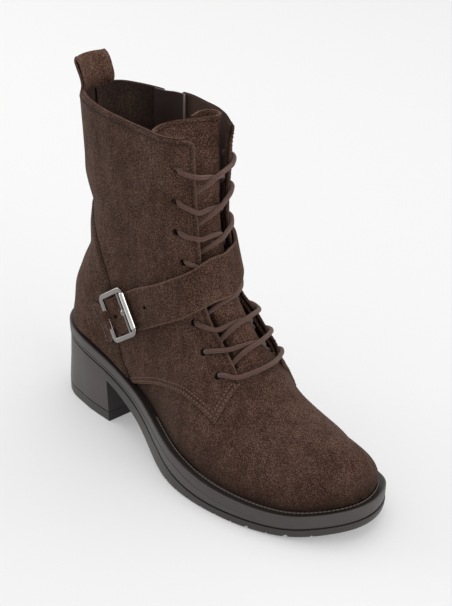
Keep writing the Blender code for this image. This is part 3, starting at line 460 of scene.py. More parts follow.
soleRubber = rubberMaterial("soleRubber", (0.050, 0.0418, 0.0396), 0.9)
treadRubber = rubberMaterial("treadRubber", (0.037, 0.0305, 0.0280), 0.15)
cordLook = {"strands": 25.13, "pitch": 6.0, "fuzz": 1800.0, "shades": [
    (0.22, (0.040, 0.0185, 0.0135)), (0.55, (0.094, 0.047, 0.035)), (0.85, (0.165, 0.095, 0.072))]}


def laceMaterial():
    paint = Paint("laceCord")
    uv = paint.tap('ShaderNodeUVMap', {"uv_map": "run"}, {})
    split = paint.node('ShaderNodeSeparateXYZ', {}, {0: uv})
    around, along = [Tap(paint, split.outputs[k]) * cordLook[by] for k, by in ((0, "strands"), (1, "pitch"))]
    left, right = [paint.tap('ShaderNodeMath', {"operation": 'SINE'}, {0: way})
                   for way in (around + along, around - along)]
    braid = left * right
    fuzz = paint.noise(paint.place(), cordLook["fuzz"], 2.0)
    colour = paint.ramp(braid * 0.22 + fuzz * 0.6 + 0.2, cordLook["shades"])
    return paint.finish(Base_Color=colour, Roughness=0.82, Sheen_Weight=0.15, Specular_IOR_Level=0.2,
                        Normal=paint.bump(braid * 0.6 + fuzz * 0.4, 0.0004, 0.5))


laceCord = laceMaterial()


def threadMaterial(name, colour, fuzzScale=2200.0):
    paint = Paint(name)
    fuzz = paint.noise(paint.place(), fuzzScale, 1.0)
    shade = paint.mix(fuzz, tinted(colour, 0.6), tinted(colour, 1.4))
    return paint.finish(Base_Color=shade, Roughness=0.7, Specular_IOR_Level=0.3)


# Painted shade: nearly black stitch capsules for the shaded needle holes.
holeShadeThread = threadMaterial("holeShadeThread", (0.010, 0.0052, 0.0038))
paleThread = threadMaterial("paleThread", (0.095, 0.073, 0.061))
footThread = threadMaterial("footThread", (0.115, 0.067, 0.048))
metalLook = {"scratch": 1400.0, "cloud": 90.0}


def metalMaterial(name, colour, rough, lines):
    paint = Paint(name)
    scratch = paint.noise(paint.place((1.0, 0.2, 1.0), (0.4, 0.0, 0.6)), metalLook["scratch"], 2.0)
    cloud = paint.noise(paint.place(), metalLook["cloud"], 3.0)
    shade = paint.mix(cloud, tinted(colour, 0.8), tinted(colour))
    return paint.finish(Base_Color=shade, Metallic=1.0, Roughness=rough + scratch * lines + cloud * 0.05,
                        Normal=paint.bump(scratch, 0.00006, 0.25))


# Painted reflection: the frame's and pin's nickel is painted darker for darker surroundings in its
# reflections, and the roller's copy is painted lighter for its bright highlight.
nickel = metalMaterial("polishedNickel", (0.27, 0.252, 0.241), 0.06, 0.12)
litRollerNickel = metalMaterial("litRollerNickel", (0.70, 0.68, 0.66), 0.05, 0.08)
zipMetal = metalMaterial("zipMetal", (0.20, 0.185, 0.17), 0.28, 0.15)
tapeLook = {"weave": 900.0, "fuzz": 1400.0, "dark": (0.010, 0.007, 0.006), "light": (0.032, 0.022, 0.018)}


def tapeMaterial():
    paint = Paint("zipTape")
    weave = paint.tap('ShaderNodeTexWave', {"bands_direction": 'Z'},
                      {"Vector": paint.place(), "Scale": tapeLook["weave"]})
    fuzz = paint.noise(paint.place(), tapeLook["fuzz"], 2.0)
    shade = paint.mix(weave * 0.5 + fuzz * 0.4, tinted(tapeLook["dark"]), tinted(tapeLook["light"]))
    return paint.finish(Base_Color=shade, Roughness=0.85, Normal=paint.bump(weave, 0.0002, 0.4))


zipTape = tapeMaterial()
print("materials ready")


def makePiece(name, points, faces, values=None, run=None):
    mesh = bpy.data.meshes.new(name)
    mesh.from_pydata(toScene(points).reshape(-1, 3).tolist(), [], [list(map(int, f)) for f in faces])
    for key, value in (values or {}).items():
        each = np.asarray(value, np.float32).ravel()
        mesh.attributes.new(key, 'FLOAT', 'POINT').data.foreach_set("value", each)
    if run is not None:  # a UV pair for each corner
        mesh.uv_layers.new(name="run").data.foreach_set("uv", np.asarray(run, np.float32).ravel())
    mesh.validate()
    piece = bpy.data.objects.new(name, mesh)
    bpy.context.scene.collection.objects.link(piece)
    return piece


def pick(piece):
    bpy.ops.object.select_all(action='DESELECT')
    piece.select_set(True)
    bpy.context.view_layer.objects.active = piece


def editAll(piece):
    pick(piece)
    bpy.ops.object.mode_set(mode='EDIT')
    bpy.ops.mesh.select_all(action='SELECT')


def addModifier(piece, kind, **settings):
    pick(piece)
    step = piece.modifiers.new(kind.lower(), kind)
    for key, value in settings.items():
        setattr(step, key, value)
    bpy.ops.object.modifier_apply(modifier=step.name)


def bevelEdges(piece, width, segments, angle):  # width in the mesh's own unit
    addModifier(piece, 'BEVEL', width=width, segments=segments, limit_method='ANGLE',
                angle_limit=math.radians(angle))


def recalc(piece, merge=1e-6):
    editAll(piece)
    bpy.ops.mesh.remove_doubles(threshold=merge)
    bpy.ops.mesh.normals_make_consistent(inside=False)
    bpy.ops.object.mode_set(mode='OBJECT')


def faceOut(piece):  # an open sheet is turned so that its normals point away from the boot's middle line
    middle = Vector(toScene(last["middle"]))
    lean = sum((face.center - middle).dot(face.normal) * face.area for face in piece.data.polygons)
    if lean < 0:
        editAll(piece)
        bpy.ops.mesh.flip_normals()
        bpy.ops.object.mode_set(mode='OBJECT')


def thicken(piece, thick, materials=(), merge=1e-6):  # an open sheet gets its wall, the last material inside
    for material in materials:
        piece.data.materials.append(material)
    recalc(piece, merge)
    faceOut(piece)
    addModifier(piece, 'SOLIDIFY', thickness=thick * 0.001, offset=-1.0, material_offset=1)
    return piece


def dress(piece, nodes=(), materials=(), body="boot", angle=40.0):
    for material in materials:
        piece.data.materials.append(material)
    pick(piece)
    bpy.ops.object.shade_smooth_by_angle(angle=math.radians(angle))
    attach(piece, body)
    if nodes:
        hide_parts(*nodes)
    return piece


def gridFaces(rows, cols, keep=None):
    cell = np.arange(rows * cols).reshape(rows, cols)
    quads = np.stack([cell[:-1, :-1], cell[1:, :-1], cell[1:, 1:], cell[:-1, 1:]], -1)
    return quads.reshape(-1, 4) if keep is None else quads[keep]


def ringFaces(rings, sides):  # quads between rings of points, with both ends closed
    faces = []
    for i in range(rings - 1):
        for k in range(sides):
            j = (k + 1) % sides
            faces.append((i * sides + k, i * sides + j, (i + 1) * sides + j, (i + 1) * sides + k))
    return faces + [tuple(range(sides))[::-1], tuple((rings - 1) * sides + k for k in range(sides))]


def insideOf(polygon, points):  # even-odd rule
    hit = np.zeros(len(points), bool)
    x, y = points[:, 0], points[:, 1]
    for (x0, y0), (x1, y1) in zip(polygon, np.roll(polygon, -1, 0)):
        cross = (y0 > y) != (y1 > y)
        hit ^= cross & (x < (x1 - x0) * (y - y0) / (y1 - y0 + 1e-12) + x0)
    return hit


sheet = {"scale": np.array([22.0, 140.0]), "spacing": 1.7, "roll": 0.5, "rollWidth": 1.2, "trough": 0.3,
         "double": (1.7, 4.2), "seamWidth": 0.75}
stitch = {"pitch": 2.5, "length": 1.3, "foot": 1.7, "welt": 2.4, "radius": 0.45, "sides": 6, "rings": [
    (-0.5, 0.25), (-0.42, 0.8), (-0.2, 1.0), (0.2, 1.0), (0.42, 0.8), (0.5, 0.25)]}
stitchRows = {"dark": [], "foot": []}


def onForm(offset):  # panel points to places on the form, off above its own offset
    return lambda flat, off: form(*(flat / sheet["scale"]).T, off + offset)


def contour(points, faces, value, level):  # lines on a mesh where value equals level, as point lists
    nextTo, place = {}, {}
    for face in faces:
        ends = []
        for i, j in ((0, 1), (1, 2), (2, 0)):
            p, q = sorted((face[i], face[j]))
            if (value[p] - level) * (value[q] - level) < 0:
                u = (level - value[p]) / (value[q] - value[p])
                place[(p, q)] = points[p] + (points[q] - points[p]) * u
                ends.append((p, q))
        if len(ends) == 2:
            nextTo.setdefault(ends[0], []).append(ends[1])
            nextTo.setdefault(ends[1], []).append(ends[0])
    lines = []
    for start in sorted(nextTo, key=lambda key: len(nextTo[key])):
        if start in nextTo:
            line, here = [start], start
            while here in nextTo:
                ways = [key for key in nextTo.pop(here) if key in nextTo]
                if not ways:
                    break
                here = ways[0]
                line.append(here)
            if len(line) > 6:
                lines.append(np.array([place[key] for key in line]))
    return lines


def insideAll(loops, points):
    hit = insideOf(loops[0], points)
    for hole in loops[1:]:
        hit &= ~insideOf(hole, points)
    return hit


def cutSheet(name, parts, place, thick, holes=(), rows=(), edgeTone=0.8, flat=1.0, back=None,
             step=sheet["spacing"], roll=sheet["roll"]):
    # A suede sheet meshed inside its outline. Parts are (points, kind). Sewn, collar and rim edges get the
    # stitch rows, double ones two pale rows, cut ones only roll over and hidden ones stay flat. Collar and
    # rim edges aren't lit, and a rim is dark. An edgeTone below 0 paints shade along every open edge.
    # place turns sheet points into space.
    outer = np.concatenate([points for points, _ in parts])
    kinds = np.concatenate([[kind] * len(points) for points, kind in parts])
    fresh = np.linalg.norm(outer - np.roll(outer, 1, 0), axis=1) > 0.12
    outer, kinds = outer[fresh], kinds[fresh]
    loops = [outer] + [np.asarray(hole, float) for hole in holes]
    low, high = outer.min(0), outer.max(0)
    u, v = np.meshgrid(np.arange(low[0], high[0], step * flat), np.arange(low[1], high[1], step * 0.87),
                       indexing="ij")
    u = u + (np.arange(u.shape[1]) % 2) * step * flat / 2
    inner = np.stack([u.ravel(), v.ravel()], -1)
    inner = inner[insideAll(loops, inner)]
    border = np.concatenate(loops)
    near = np.min(((inner[:, None, :] - border[None]) ** 2).sum(-1), 1)
    inner = inner[near > (0.55 * step) ** 2]
    links, start = [], 0
    for loop in loops:
        links += [(start + k, start + (k + 1) % len(loop)) for k in range(len(loop))]
        start += len(loop)
    points, _, faces, *_ = geometry.delaunay_2d_cdt([Vector(p) for p in np.concatenate([border, inner])],
                                                    links, [], 0, 1e-5)
    points = np.array([tuple(p) for p in points])
    faces = np.array([face for face in faces if len(face) == 3])
    faces = faces[insideAll(loops, points[faces].mean(1))]
    here, rim = place(points, 0.0), place(outer, 0.0)

    def away(wanted):
        if not wanted.any():
            return np.full(len(here), 99.0)
        return np.sqrt(np.min(((here[:, None, :] - rim[None, wanted]) ** 2).sum(-1), 1))
    fromCut, fromHidden, fromRim = away(kinds != "hidden"), away(kinds == "hidden"), away(kinds == "rim")
    fromLit = away(~np.isin(kinds, ("hidden", "collar", "rim")))
    off = -roll * (1 - smoothStep(0.0, sheet["rollWidth"], fromCut))
    seam, lines = np.zeros(len(here)), []
    threads = ((("sewn", "collar", "rim"), rows, "dark"), (("double",), sheet["double"], "foot"))
    for own, distances, thread in threads:
        fromEdge = away(np.isin(kinds, own))
        nearest = smoothStep(-0.4, 0.4, np.minimum(fromCut + 0.2, fromHidden + 1.5) - fromEdge)
        for row in distances:
            seam = np.maximum(seam, nearest * np.exp(-((fromEdge - row) / sheet["seamWidth"]) ** 2))
            lines.append((np.where(nearest > 0.5, fromEdge, 99.0), row, thread))
    made = place(points, off - sheet["trough"] * seam)
    for value, row, thread in lines:
        stitchRows[thread] += contour(made, faces, value, row)
    lit, dark = max(edgeTone, 0.0), max(-edgeTone, 0.0)
    shadow = np.maximum(dark * (1 - smoothStep(0.3, 1.6, fromCut)), 1 - smoothStep(0.3, 2.0, fromRim))
    piece = makePiece(name, made, faces, {
        "edge": lit * (1 - smoothStep(0.1, 1.0, fromLit)), "seam": seam, "foot": shadow})
    return thicken(piece, thick, (suede, back) if back else ())


# Edges of the panels seen from the side: x, z.
cut = {
    "facing": [(173.9, 71.2), (170.4, 75.0), (163.3, 82.0), (155.2, 89.6), (147.0, 98.5), (142.0, 107.4),
               (137.8, 121.9), (134.7, 136.0), (131.3, 158.5), (130.7, 178.9), (130.7, 199.4),
               (130.6, 209.6)],
    "foot": [(171.5, 50.8), (157.8, 55.5), (141.8, 57.4), (125.1, 54.0), (107.2, 47.8),
             (97.0, 43.2), (90.5, 40.6)],
    "counter": [(85.5, 43.2), (80.0, 51.0), (75.9, 59.8), (72.7, 78.5), (69.0, 100.0), (61.3, 116.8),
                (50.4, 130.7), (38.0, 138.5), (27.0, 142.0)],
    "zip": [(83.0, 62.0, 3.8), (79.5, 80.0, 3.8), (75.5, 100.0, 3.8), (69.5, 120.0, 3.8), (64.5, 150.0, 3.8),
            (62.8, 176.0, 3.8), (62.2, 190.0, 4.2), (62.0, 200.0, 8.4), (62.0, 209.6, 8.4)],
    "eyelets": [(123.4, 192.7), (122.6, 172.7), (122.1, 152.9), (126.6, 134.3), (131.4, 116.7), (136.9, 98.9),
                (146.9, 83.3), (161.1, 73.5)],
    "hole": 2.1, "top": 210.3, "corner": 3.4, "throat": 8.4, "counterTop": 142.0, "counterThick": 0.7,
    "row": 2.7, "counterRow": 3.0, "flare": 3.6, "flareWidth": 0.12, "flareRows": (7.8, 8.8, 10.0, 11.1),
    "lap": 1.5, "seamFoot": 140.0, "counterRest": (5.2, 84.0), "lateralRest": (84.0, 89.5),
    "medialRest": (86.5, 89.5)}
panelHigh, counterHigh = last["fit"] + last["panel"], last["fit"] + last["counter"]
facingLine, counterLine, footLine = even(cut["facing"], 130), even(cut["counter"], 110), even(cut["foot"], 70)
zipLine = np.array(cut["zip"])
facingTurn = spline(*locate(even(cut["facing"], 24), 1).T)
eyeletAt = locate(cut["eyelets"], 1)


def flareAt(t, a):  # the inner facing stands off the tongue below the strap
    near = np.exp(-(np.maximum(a - facingTurn(t), 0.0) / cut["flareWidth"]) ** 2) * (a > 0)
    return cut["flare"] * near * within(cut["flareRows"], t)


def onMedial(flat, off):
    t, a = (flat / sheet["scale"]).T
    return form(t, a, off + panelHigh + flareAt(t, a))


def cornerArc(x, z, radius, begin, end):
    return circle(x, z, radius, np.radians(np.linspace(begin, end, 9)))


def punched(x, y, radius, count=12):
    return circle(x, y, radius, turns(count))


def straight(start, end, step=1.5):
    return np.linspace(start, end, max(2, int(np.linalg.norm(np.subtract(end, start)) / step)))


def seamLine(z0, z1):  # up or down the back seam
    z = straight(z0, z1)
    return np.stack([backX(z), z], -1)


def restLine(x0, x1):  # along the welt
    x = straight(x0, x1)
    return np.stack([x, soleTop(x) + last["seat"] + 0.15], -1)


def eyeletRing(t, a, side):
    x, _, z = skin(t, side * a)
    return locate(punched(x, z, cut["hole"], 14), side) * sheet["scale"]


def edgeOf(side, *parts):  # side-view edges as sheet points
    return [(locate(points, side) * sheet["scale"], kind) for points, kind in parts]


facingTop = facingLine[facingLine[:, 1] < cut["top"] - cut["corner"] - 0.5]
cornerX, cornerZ = facingTop[-1, 0] - cut["corner"], cut["top"] - cut["corner"]
facingCap = cornerArc(cornerX, cornerZ, cut["corner"], 0.0, 90.0)
holes = {side: [eyeletRing(t, a, side) for t, a in eyeletAt] for side in (-1, 1)}
quarterBack = beside(counterLine, -cut["lap"])
zipAhead = even(zipLine[:, :2] + zipLine[:, 2:] * np.array([1.0, 0.0]), 100)
zipBehind = even(zipLine[3:, :2] - zipLine[3:, 2:] * np.array([1.0, 0.0]), 90)
backTop = (backX(cut["top"]), cut["top"])

quarterLateral = cutSheet("quarterLateral", edgeOf(
    -1, (facingTop, "sewn"), (facingCap, "sewn"), (straight(facingCap[-1], backTop), "collar"),
    (seamLine(cut["top"], cut["seamFoot"]), "hidden"), (quarterBack[::-1], "hidden"),
    (restLine(*cut["lateralRest"]), "hidden"), (footLine[::-1], "double"),
    (straight(footLine[0], facingLine[0]), "double")),
    onForm(panelHigh), last["panel"], holes[-1], (cut["row"],), back=lining)
dress(quarterLateral, ["quarter_lateral"])
quarterMedial = cutSheet("quarterMedial", edgeOf(
    1, (facingTop, "collar"), (facingCap, "rim"),
    (straight(facingCap[-1], (zipAhead[-1, 0], cut["top"])), "rim"), (zipAhead[::-1], "sewn"),
    (restLine(*cut["medialRest"]), "hidden"), (footLine[::-1], "double"),
    (straight(footLine[0], facingLine[0]), "double")),
    onMedial, last["panel"], holes[1], (cut["row"],), back=lining)
dress(quarterMedial, ["quarter_medial"])
rearTop = (zipBehind[-1, 0], cut["top"])
rearBack = quarterBack[quarterBack[:, 1] > zipBehind[0, 1]]
quarterRear = cutSheet("quarterMedialRear", edgeOf(
    1, (zipBehind, "sewn"), (straight(zipBehind[-1], rearTop), "rim"), (straight(rearTop, backTop), "rim"),
    (seamLine(cut["top"], cut["seamFoot"]), "hidden"), (rearBack[::-1], "hidden")),
    onForm(panelHigh), last["panel"], (), (cut["counterRow"],))
dress(quarterRear, ["quarter_medial_rear"], [suede])
print("quarters done")

# The counter's edgeTone of -1.0 paints shade along its open edges.
counterHalves = [cutSheet(name, edgeOf(
    side, (counterLine, "sewn"), (seamLine(cut["counterTop"], backZ(heelStation) + 0.25), "hidden"),
    (restLine(*cut["counterRest"]), "hidden")), onForm(counterHigh), cut["counterThick"], (),
    (cut["counterRow"],), -1.0)
    for side, name in ((-1, "heelCounter"), (1, "counterMedial"))]
pick(counterHalves[0])
counterHalves[1].select_set(True)
bpy.ops.object.join()
heelCounter = counterHalves[0]
dress(heelCounter, ["heel_counter"], [suede])
print("counter done")


def shellPiece(name, points, keep, thick, materials, values):
    piece = makePiece(name, points, gridFaces(*points.shape[:2], keep), values)
    return thicken(piece, thick, materials, 1e-5)


upperShare = {"side": 76, "throat": 18, "behind": 0.045, "sink": 2.6, "sinkRow": 6.9,
              "sinkTurn": (0.75, 1.15), "notch": (202.5, 62.0, 7.6), "cornerLap": 1.2, "holeGap": 0.6,
              "shade": 8.5, "worn": 0.8, "liningPaleX": (74.0, 84.0), "liningPaleZ": (176.0, 200.0)}
upperT = np.unique(np.concatenate([
    np.linspace(0.0, 1.0, 26) ** 1.5, np.linspace(1.0, cut["throat"], 70),
    np.linspace(cut["throat"], collar, 110)]))
share = 1 - np.linspace(0.0, 1.0, upperShare["side"]) ** 1.15
edgeTurn = (facingTurn(upperT) + upperShare["behind"])[:, None]
across = np.linspace(-1.0, 1.0, upperShare["throat"] + 1)[1:-1]
upperA = np.concatenate([-(edgeTurn + (1 - edgeTurn) * share), edgeTurn * across,
                         edgeTurn + (1 - edgeTurn) * share[::-1]], 1)
upperGridT = np.repeat(upperT[:, None], upperA.shape[1], 1)
keep = np.ones((len(upperT) - 1, upperA.shape[1] - 1), bool)
throatCols = slice(upperShare["side"] - 1, upperShare["side"] - 1 + upperShare["throat"])
keep[upperT[:-1] >= cut["throat"] - 1e-6, throatCols] = False
flatUpper = skin(upperGridT, upperA)
notchZ, notchX, notchHalf = upperShare["notch"]
overZip = (flatUpper[..., 2] > notchZ) & (np.abs(flatUpper[..., 0] - notchX) < notchHalf)
keep &= ~((upperA > 0) & overZip)[1:, 1:]
cornerGap = np.hypot(flatUpper[..., 0] - cornerX, flatUpper[..., 2] - cornerZ)
inCorner = (flatUpper[..., 0] > cornerX) & (flatUpper[..., 2] > cornerZ)
keep &= ~(inCorner & (cornerGap > cut["corner"] - upperShare["cornerLap"]))[1:, 1:]
for side in (-1, 1):
    for t, a in eyeletAt:
        gap = np.linalg.norm(flatUpper - skin(t, side * a), axis=-1)
        keep &= ~((gap[1:, 1:] + gap[:-1, :-1]) / 2 < cut["hole"] + upperShare["holeGap"])
sink = 1 - smoothStep(*upperShare["sinkTurn"], np.abs(upperA) / edgeTurn)
sink = smoothStep(upperShare["sinkRow"], cut["throat"], upperGridT) * sink
footGap = flatUpper[..., 2] - soleTop(flatUpper[..., 0]) - last["seat"]
rimShade = smoothStep(collar - 0.08, collar - 0.02, upperGridT) * (upperA > 0)
# The lining of the inner side gets paler towards the collar, in front of the zip.
worn = upperShare["worn"] * (upperA > 0) * smoothStep(*upperShare["liningPaleX"], flatUpper[..., 0])
worn = worn * smoothStep(*upperShare["liningPaleZ"], flatUpper[..., 2])
upperOff = flareAt(upperGridT, upperA) - upperShare["sink"] * sink
# The foot mark paints shade on the suede along the welt and darkens the inner side's top rim.
upper = shellPiece("upper", form(upperGridT, upperA, upperOff), keep, last["wall"], (suede, lining), {
    "foot": np.maximum(np.exp(-footGap / upperShare["shade"]), rimShade), "worn": worn})
dress(upper, ["upper"])
print("upper done")

# The tongue leans back into the shaft. Its sides lie low under the facings, its inner top corner curls back.
tongueLook = {"thick": 1.7, "depth": 3.0, "lean": 17.0, "rise": 5.0, "drop": 0.2, "side": 2.6, "start": 7.6,
              "rows": 130, "cols": 97, "row": 2.8, "skewFrom": 12.0, "puff": 2.8,
              "puffRows": (7.9, 8.8, 11.2, 12.6), "leanRow": 10.8, "topLean": 3.0, "topLeanRow": 16.0,
              "riseRow": 18.0, "lap": (0.035, 0.075), "lapRows": (8.0, 10.0), "ripple": 0.5,
              "rippleRows": (10.0, 14.0), "underTurn": (0.85, 1.1),
              "top": [(104.0, -23.0, 206.0), (98.5, -17.0, 208.0), (96.5, -9.0, 209.0), (99.0, -1.5, 210.0),
                      (105.0, 6.0, 211.0), (112.0, 12.0, 212.5), (116.6, 15.2, 213.5), (116.6, 18.4, 213.8),
                      (112.0, 20.4, 213.8), (105.5, 19.6, 213.4), (100.5, 15.0, 212.2), (100.5, 8.5, 210.8)]}


def puffAt(t, a):  # the tongue swells between the facings below the strap
    middle = np.clip(1 - (a / facingTurn(t)) ** 2, 0.0, 1.0)
    return tongueLook["puff"] * middle * within(tongueLook["puffRows"], t)


tongueT = np.linspace(tongueLook["start"], collar, tongueLook["rows"])
tongueLean = tongueLook["lean"] * smoothStep(tongueLook["leanRow"], collar + 2.0, tongueT)
tongueLean = tongueLean + tongueLook["topLean"] * smoothStep(tongueLook["topLeanRow"], collar, tongueT)
tongueLap = tongueLook["lap"][0] + tongueLook["lap"][1] * smoothStep(*tongueLook["lapRows"], tongueT)
tongueHalf = facingTurn(tongueT) + tongueLap
spread = np.linspace(-1.0, 1.0, tongueLook["cols"])
tongueGridT = np.repeat(tongueT[:, None], len(spread), 1)
tongueA = tongueHalf[:, None] * spread
shift = np.zeros(tongueGridT.shape + (3,))
shift[..., 0] = -tongueLean[:, None]
tongueRise = tongueLook["rise"] * smoothStep(tongueLook["riseRow"], collar, tongueT)
shift[..., 2] = (tongueRise - tongueLook["drop"] * tongueLean)[:, None]
ripple = tongueLook["ripple"] * np.sin(spread * 5.0 + 0.8)
ripple = ripple * smoothStep(*tongueLook["rippleRows"], tongueGridT)
under = smoothStep(*tongueLook["underTurn"], np.abs(tongueA) / facingTurn(tongueT)[:, None])
puff = puffAt(tongueGridT, tongueA)
tongueOff = puff + ripple - tongueLook["depth"] - tongueLook["side"] * under
tonguePoints = form(tongueGridT, tongueA, tongueOff) + shift
skew = (tongueT - tongueLook["skewFrom"]) / (collar - tongueLook["skewFrom"])
skew = np.clip(skew, 0.0, 1.0)[:, None, None]
tonguePoints = tonguePoints + skew ** 1.2 * (even(tongueLook["top"], len(spread)) - tonguePoints[-1])
topGap = np.linalg.norm(tonguePoints - tonguePoints[-1:], axis=-1)
tongueSeam = np.exp(-((topGap - tongueLook["row"]) / sheet["seamWidth"]) ** 2)
tongue = shellPiece("tongue", tonguePoints, None, tongueLook["thick"], (suedeTongue, suedeTongue), {
    "edge": 0.3 * (1 - smoothStep(0.1, 1.0, topGap)), "seam": tongueSeam})
tongueRow = np.array([
    [np.interp(tongueLook["row"], topGap[::-1, j], tonguePoints[::-1, j, k]) for k in range(3)]
    for j in range(4, tongueLook["cols"] - 4)])
stitchRows["dark"].append(tongueRow)
dress(tongue, ["tongue"])
print("tongue done")

# Sole layers, bottom up: each ring of the outline has its inset, the curve that it follows and its rise.
sole = {"welt": 2.5, "lugDepth": 1.2, "lugPitch": 11.4, "lugGroove": 1.7, "lugs": (128.0, 244.0),
        "treadEnd": 248.0, "toplift": 6.5, "flare": 3.6, "flareX": (4.0, 36.0), "fit": 0.3, "breast": 0.7,
        "insoleIn": 3.2, "chamfer": 0.35, "toe": (253.5, 6.5), "groove": 0.8,
        "grooveFade": [(110.0, 180.0, 0.6), (195.0, 225.0, 0.2)]}
lugStarts = np.arange(*sole["lugs"], sole["lugPitch"])
flare = sole["flare"] * (1 - smoothStep(*sole["flareX"], outline[:, 0]))


def soleRings(name, levels, shade=None):
    points = []
    for distance, curve, rise in levels:
        loop = inset(outline, distance)
        points.append(np.stack([*loop.T, curve(loop[:, 0]) + rise], -1))
    values = None if shade is None else {"foot": np.repeat(shade, len(outline))}
    return makePiece(name, np.concatenate(points), ringFaces(len(levels), len(outline)), values)


def soleSlab(name, levels, xs, start=None, end=None):  # part of the sole, cut off flat at start or end
    points, faces, rings, shade = [], [], [], []
    for distance, curve, rise in levels:
        loop = inset(outline, distance)
        lateral, medial = chains(loop)
        low = loop[:, 0].min() if start is None else start
        high = loop[:, 0].max() if end is None else end
        knots = [] if start is None else [sole["treadEnd"]]
        x = np.interp(xs, [xs[0], *knots, xs[-1]], [low, *knots, high])
        yl, ym = lateral(x), medial(x)
        if start is None:
            yl[0] = ym[0] = (yl[0] + ym[0]) / 2
        if end is None:
            yl[-1] = ym[-1] = (yl[-1] + ym[-1]) / 2
        rings.append((len(points), len(points) + len(x), len(x)))
        for y in (yl, ym):
            points.extend(np.stack([x, y, curve(x) + rise], -1))
        # Painted shade on the heel's breast, the flat front end.
        dark = np.zeros(len(x))
        dark[-1] = 0.0 if end is None else sole["breast"]
        shade += [dark, dark]
    for (l0, m0, n), (l1, m1, _) in zip(rings, rings[1:]):
        for k in range(n - 1):
            faces.append((l0 + k, l0 + k + 1, l1 + k + 1, l1 + k))
            faces.append((m0 + k + 1, m0 + k, m1 + k, m1 + k + 1))
        faces.append((m0, l0, l1, m1))
        faces.append((l0 + n - 1, m0 + n - 1, m1 + n - 1, l1 + n - 1))
    for (l, m, n), flip in ((rings[0], True), (rings[-1], False)):
        for k in range(n - 1):
            quad = (l + k, l + k + 1, m + k + 1, m + k)
            faces.append(quad[::-1] if flip else quad)
    piece = makePiece(name, points, faces, {"foot": np.concatenate(shade)})
    recalc(piece)
    return piece


def ground(x):
    return 0 * x


def heelMiddle(x):
    return (soleSeam(x) + sole["toplift"]) / 2


def tread(x):
    inside = ((x[:, None] > lugStarts) & (x[:, None] < lugStarts + sole["lugGroove"])).any(1)
    return soleBottom(x) + sole["lugDepth"] * inside


treadX = list(np.linspace(last["heelX"] + sole["fit"], lugStarts[0] - 1.0, 50))
for lug in lugStarts:
    far = lug + sole["lugGroove"]
    treadX += [lug, lug + sole["chamfer"], far - sole["chamfer"], far]
    treadX += list(np.linspace(far, lug + sole["lugPitch"], 7)[1:-1])
toeX = sole["toe"][0] + sole["toe"][1] * np.sin(np.linspace(0.1, math.pi / 2, 16))
treadX = np.r_[treadX, toeX]
outsole = soleSlab("outsole", [
    (1.3, tread, 0.0), (0.5, tread, 0.8), (0.2, soleBottom, sole["lugDepth"] + 0.9), (0.0, soleSeam, -0.8),
    (0.0, soleSeam, -0.3), (0.3, soleSeam, 0.0)], treadX, start=last["heelX"] + sole["fit"])
dress(outsole, ["outsole"], [treadRubber], angle=30.0)
groove = sole["groove"] - sum(depth * smoothStep(low, high, outline[:, 0])
                              for low, high, depth in sole["grooveFade"])
midsole = soleRings("midsole", [
    (1.2, soleSeam, sole["fit"]), (1.2, soleSeam, 0.9), (0.45, soleSeam, 1.15), (0.25, soleSeam, 1.5),
    (0.15, soleTop, -6.7), (0.15 + groove, soleTop, -6.55), (0.15 + groove, soleTop, -6.15),
    (0.12, soleTop, -6.0), (0.03, soleTop, -3.4), (0.03, soleTop, -sole["welt"])])
dress(midsole, ["midsole"], [soleRubber], angle=30.0)
# The last numbers paint shade on the welt's ledge, strongest next to the upper.
welt = soleRings("welt", [
    (0.02, soleTop, -sole["welt"]), (0.0, soleTop, 0.6 - sole["welt"]), (0.0, soleTop, -0.55),
    (0.15, soleTop, -0.15), (0.5, soleTop, 0.0), (1.3, soleTop, 0.0), (2.2, soleTop, -0.15),
    (12.0, soleTop, -0.2)],
    (0.0, 0.0, 0.0, 0.0, 0.1, 0.8, 1.0, 1.0))
dress(welt, ["welt"], [soleRubber], angle=30.0)
heelX = (1 - np.sin(np.linspace(0.0, math.pi / 2, 70))[::-1] ** 1.6) * last["heelX"]
heelBlock = soleSlab("heelBlock", [
    (2.7 - flare, ground, sole["toplift"] + sole["fit"]), (2.7 - flare, ground, sole["toplift"] + 0.65),
    (2.0 - flare, ground, sole["toplift"] + 0.85), (1.85 - flare, ground, sole["toplift"] + 1.7),
    (1.4 - 0.5 * flare, heelMiddle, 0.0), (0.6, soleSeam, -1.3), (0.75, soleSeam, -0.75),
    (1.8, soleSeam, -0.5), (1.8, soleSeam, -sole["fit"])], heelX, end=last["heelX"])
dress(heelBlock, ["heel_block"], [soleRubber], angle=30.0)
heelToplift = soleSlab("heelToplift", [
    (2.6 - flare, ground, 0.0), (2.1 - flare, ground, 0.3), (1.9 - flare, ground, 0.9),
    (1.9 - flare, ground, sole["toplift"] - 0.3), (2.1 - flare, ground, sole["toplift"])],
    heelX, end=last["heelX"])
dress(heelToplift, ["heel_toplift"], [treadRubber], angle=30.0)
insoleIn = ledgeAt(outline[:, 0]) + last["wall"] + sole["insoleIn"]
insole = soleRings("insole", [
    (insoleIn, soleTop, sole["fit"]), (insoleIn, soleTop, 2.2), (insoleIn + 0.4, soleTop, 2.8),
    (insoleIn + 1.0, soleTop, 3.0), (insoleIn + 8.0, soleTop, 2.8)])
dress(insole, ["insole"], [insoleLeather], angle=30.0)
print("sole done")


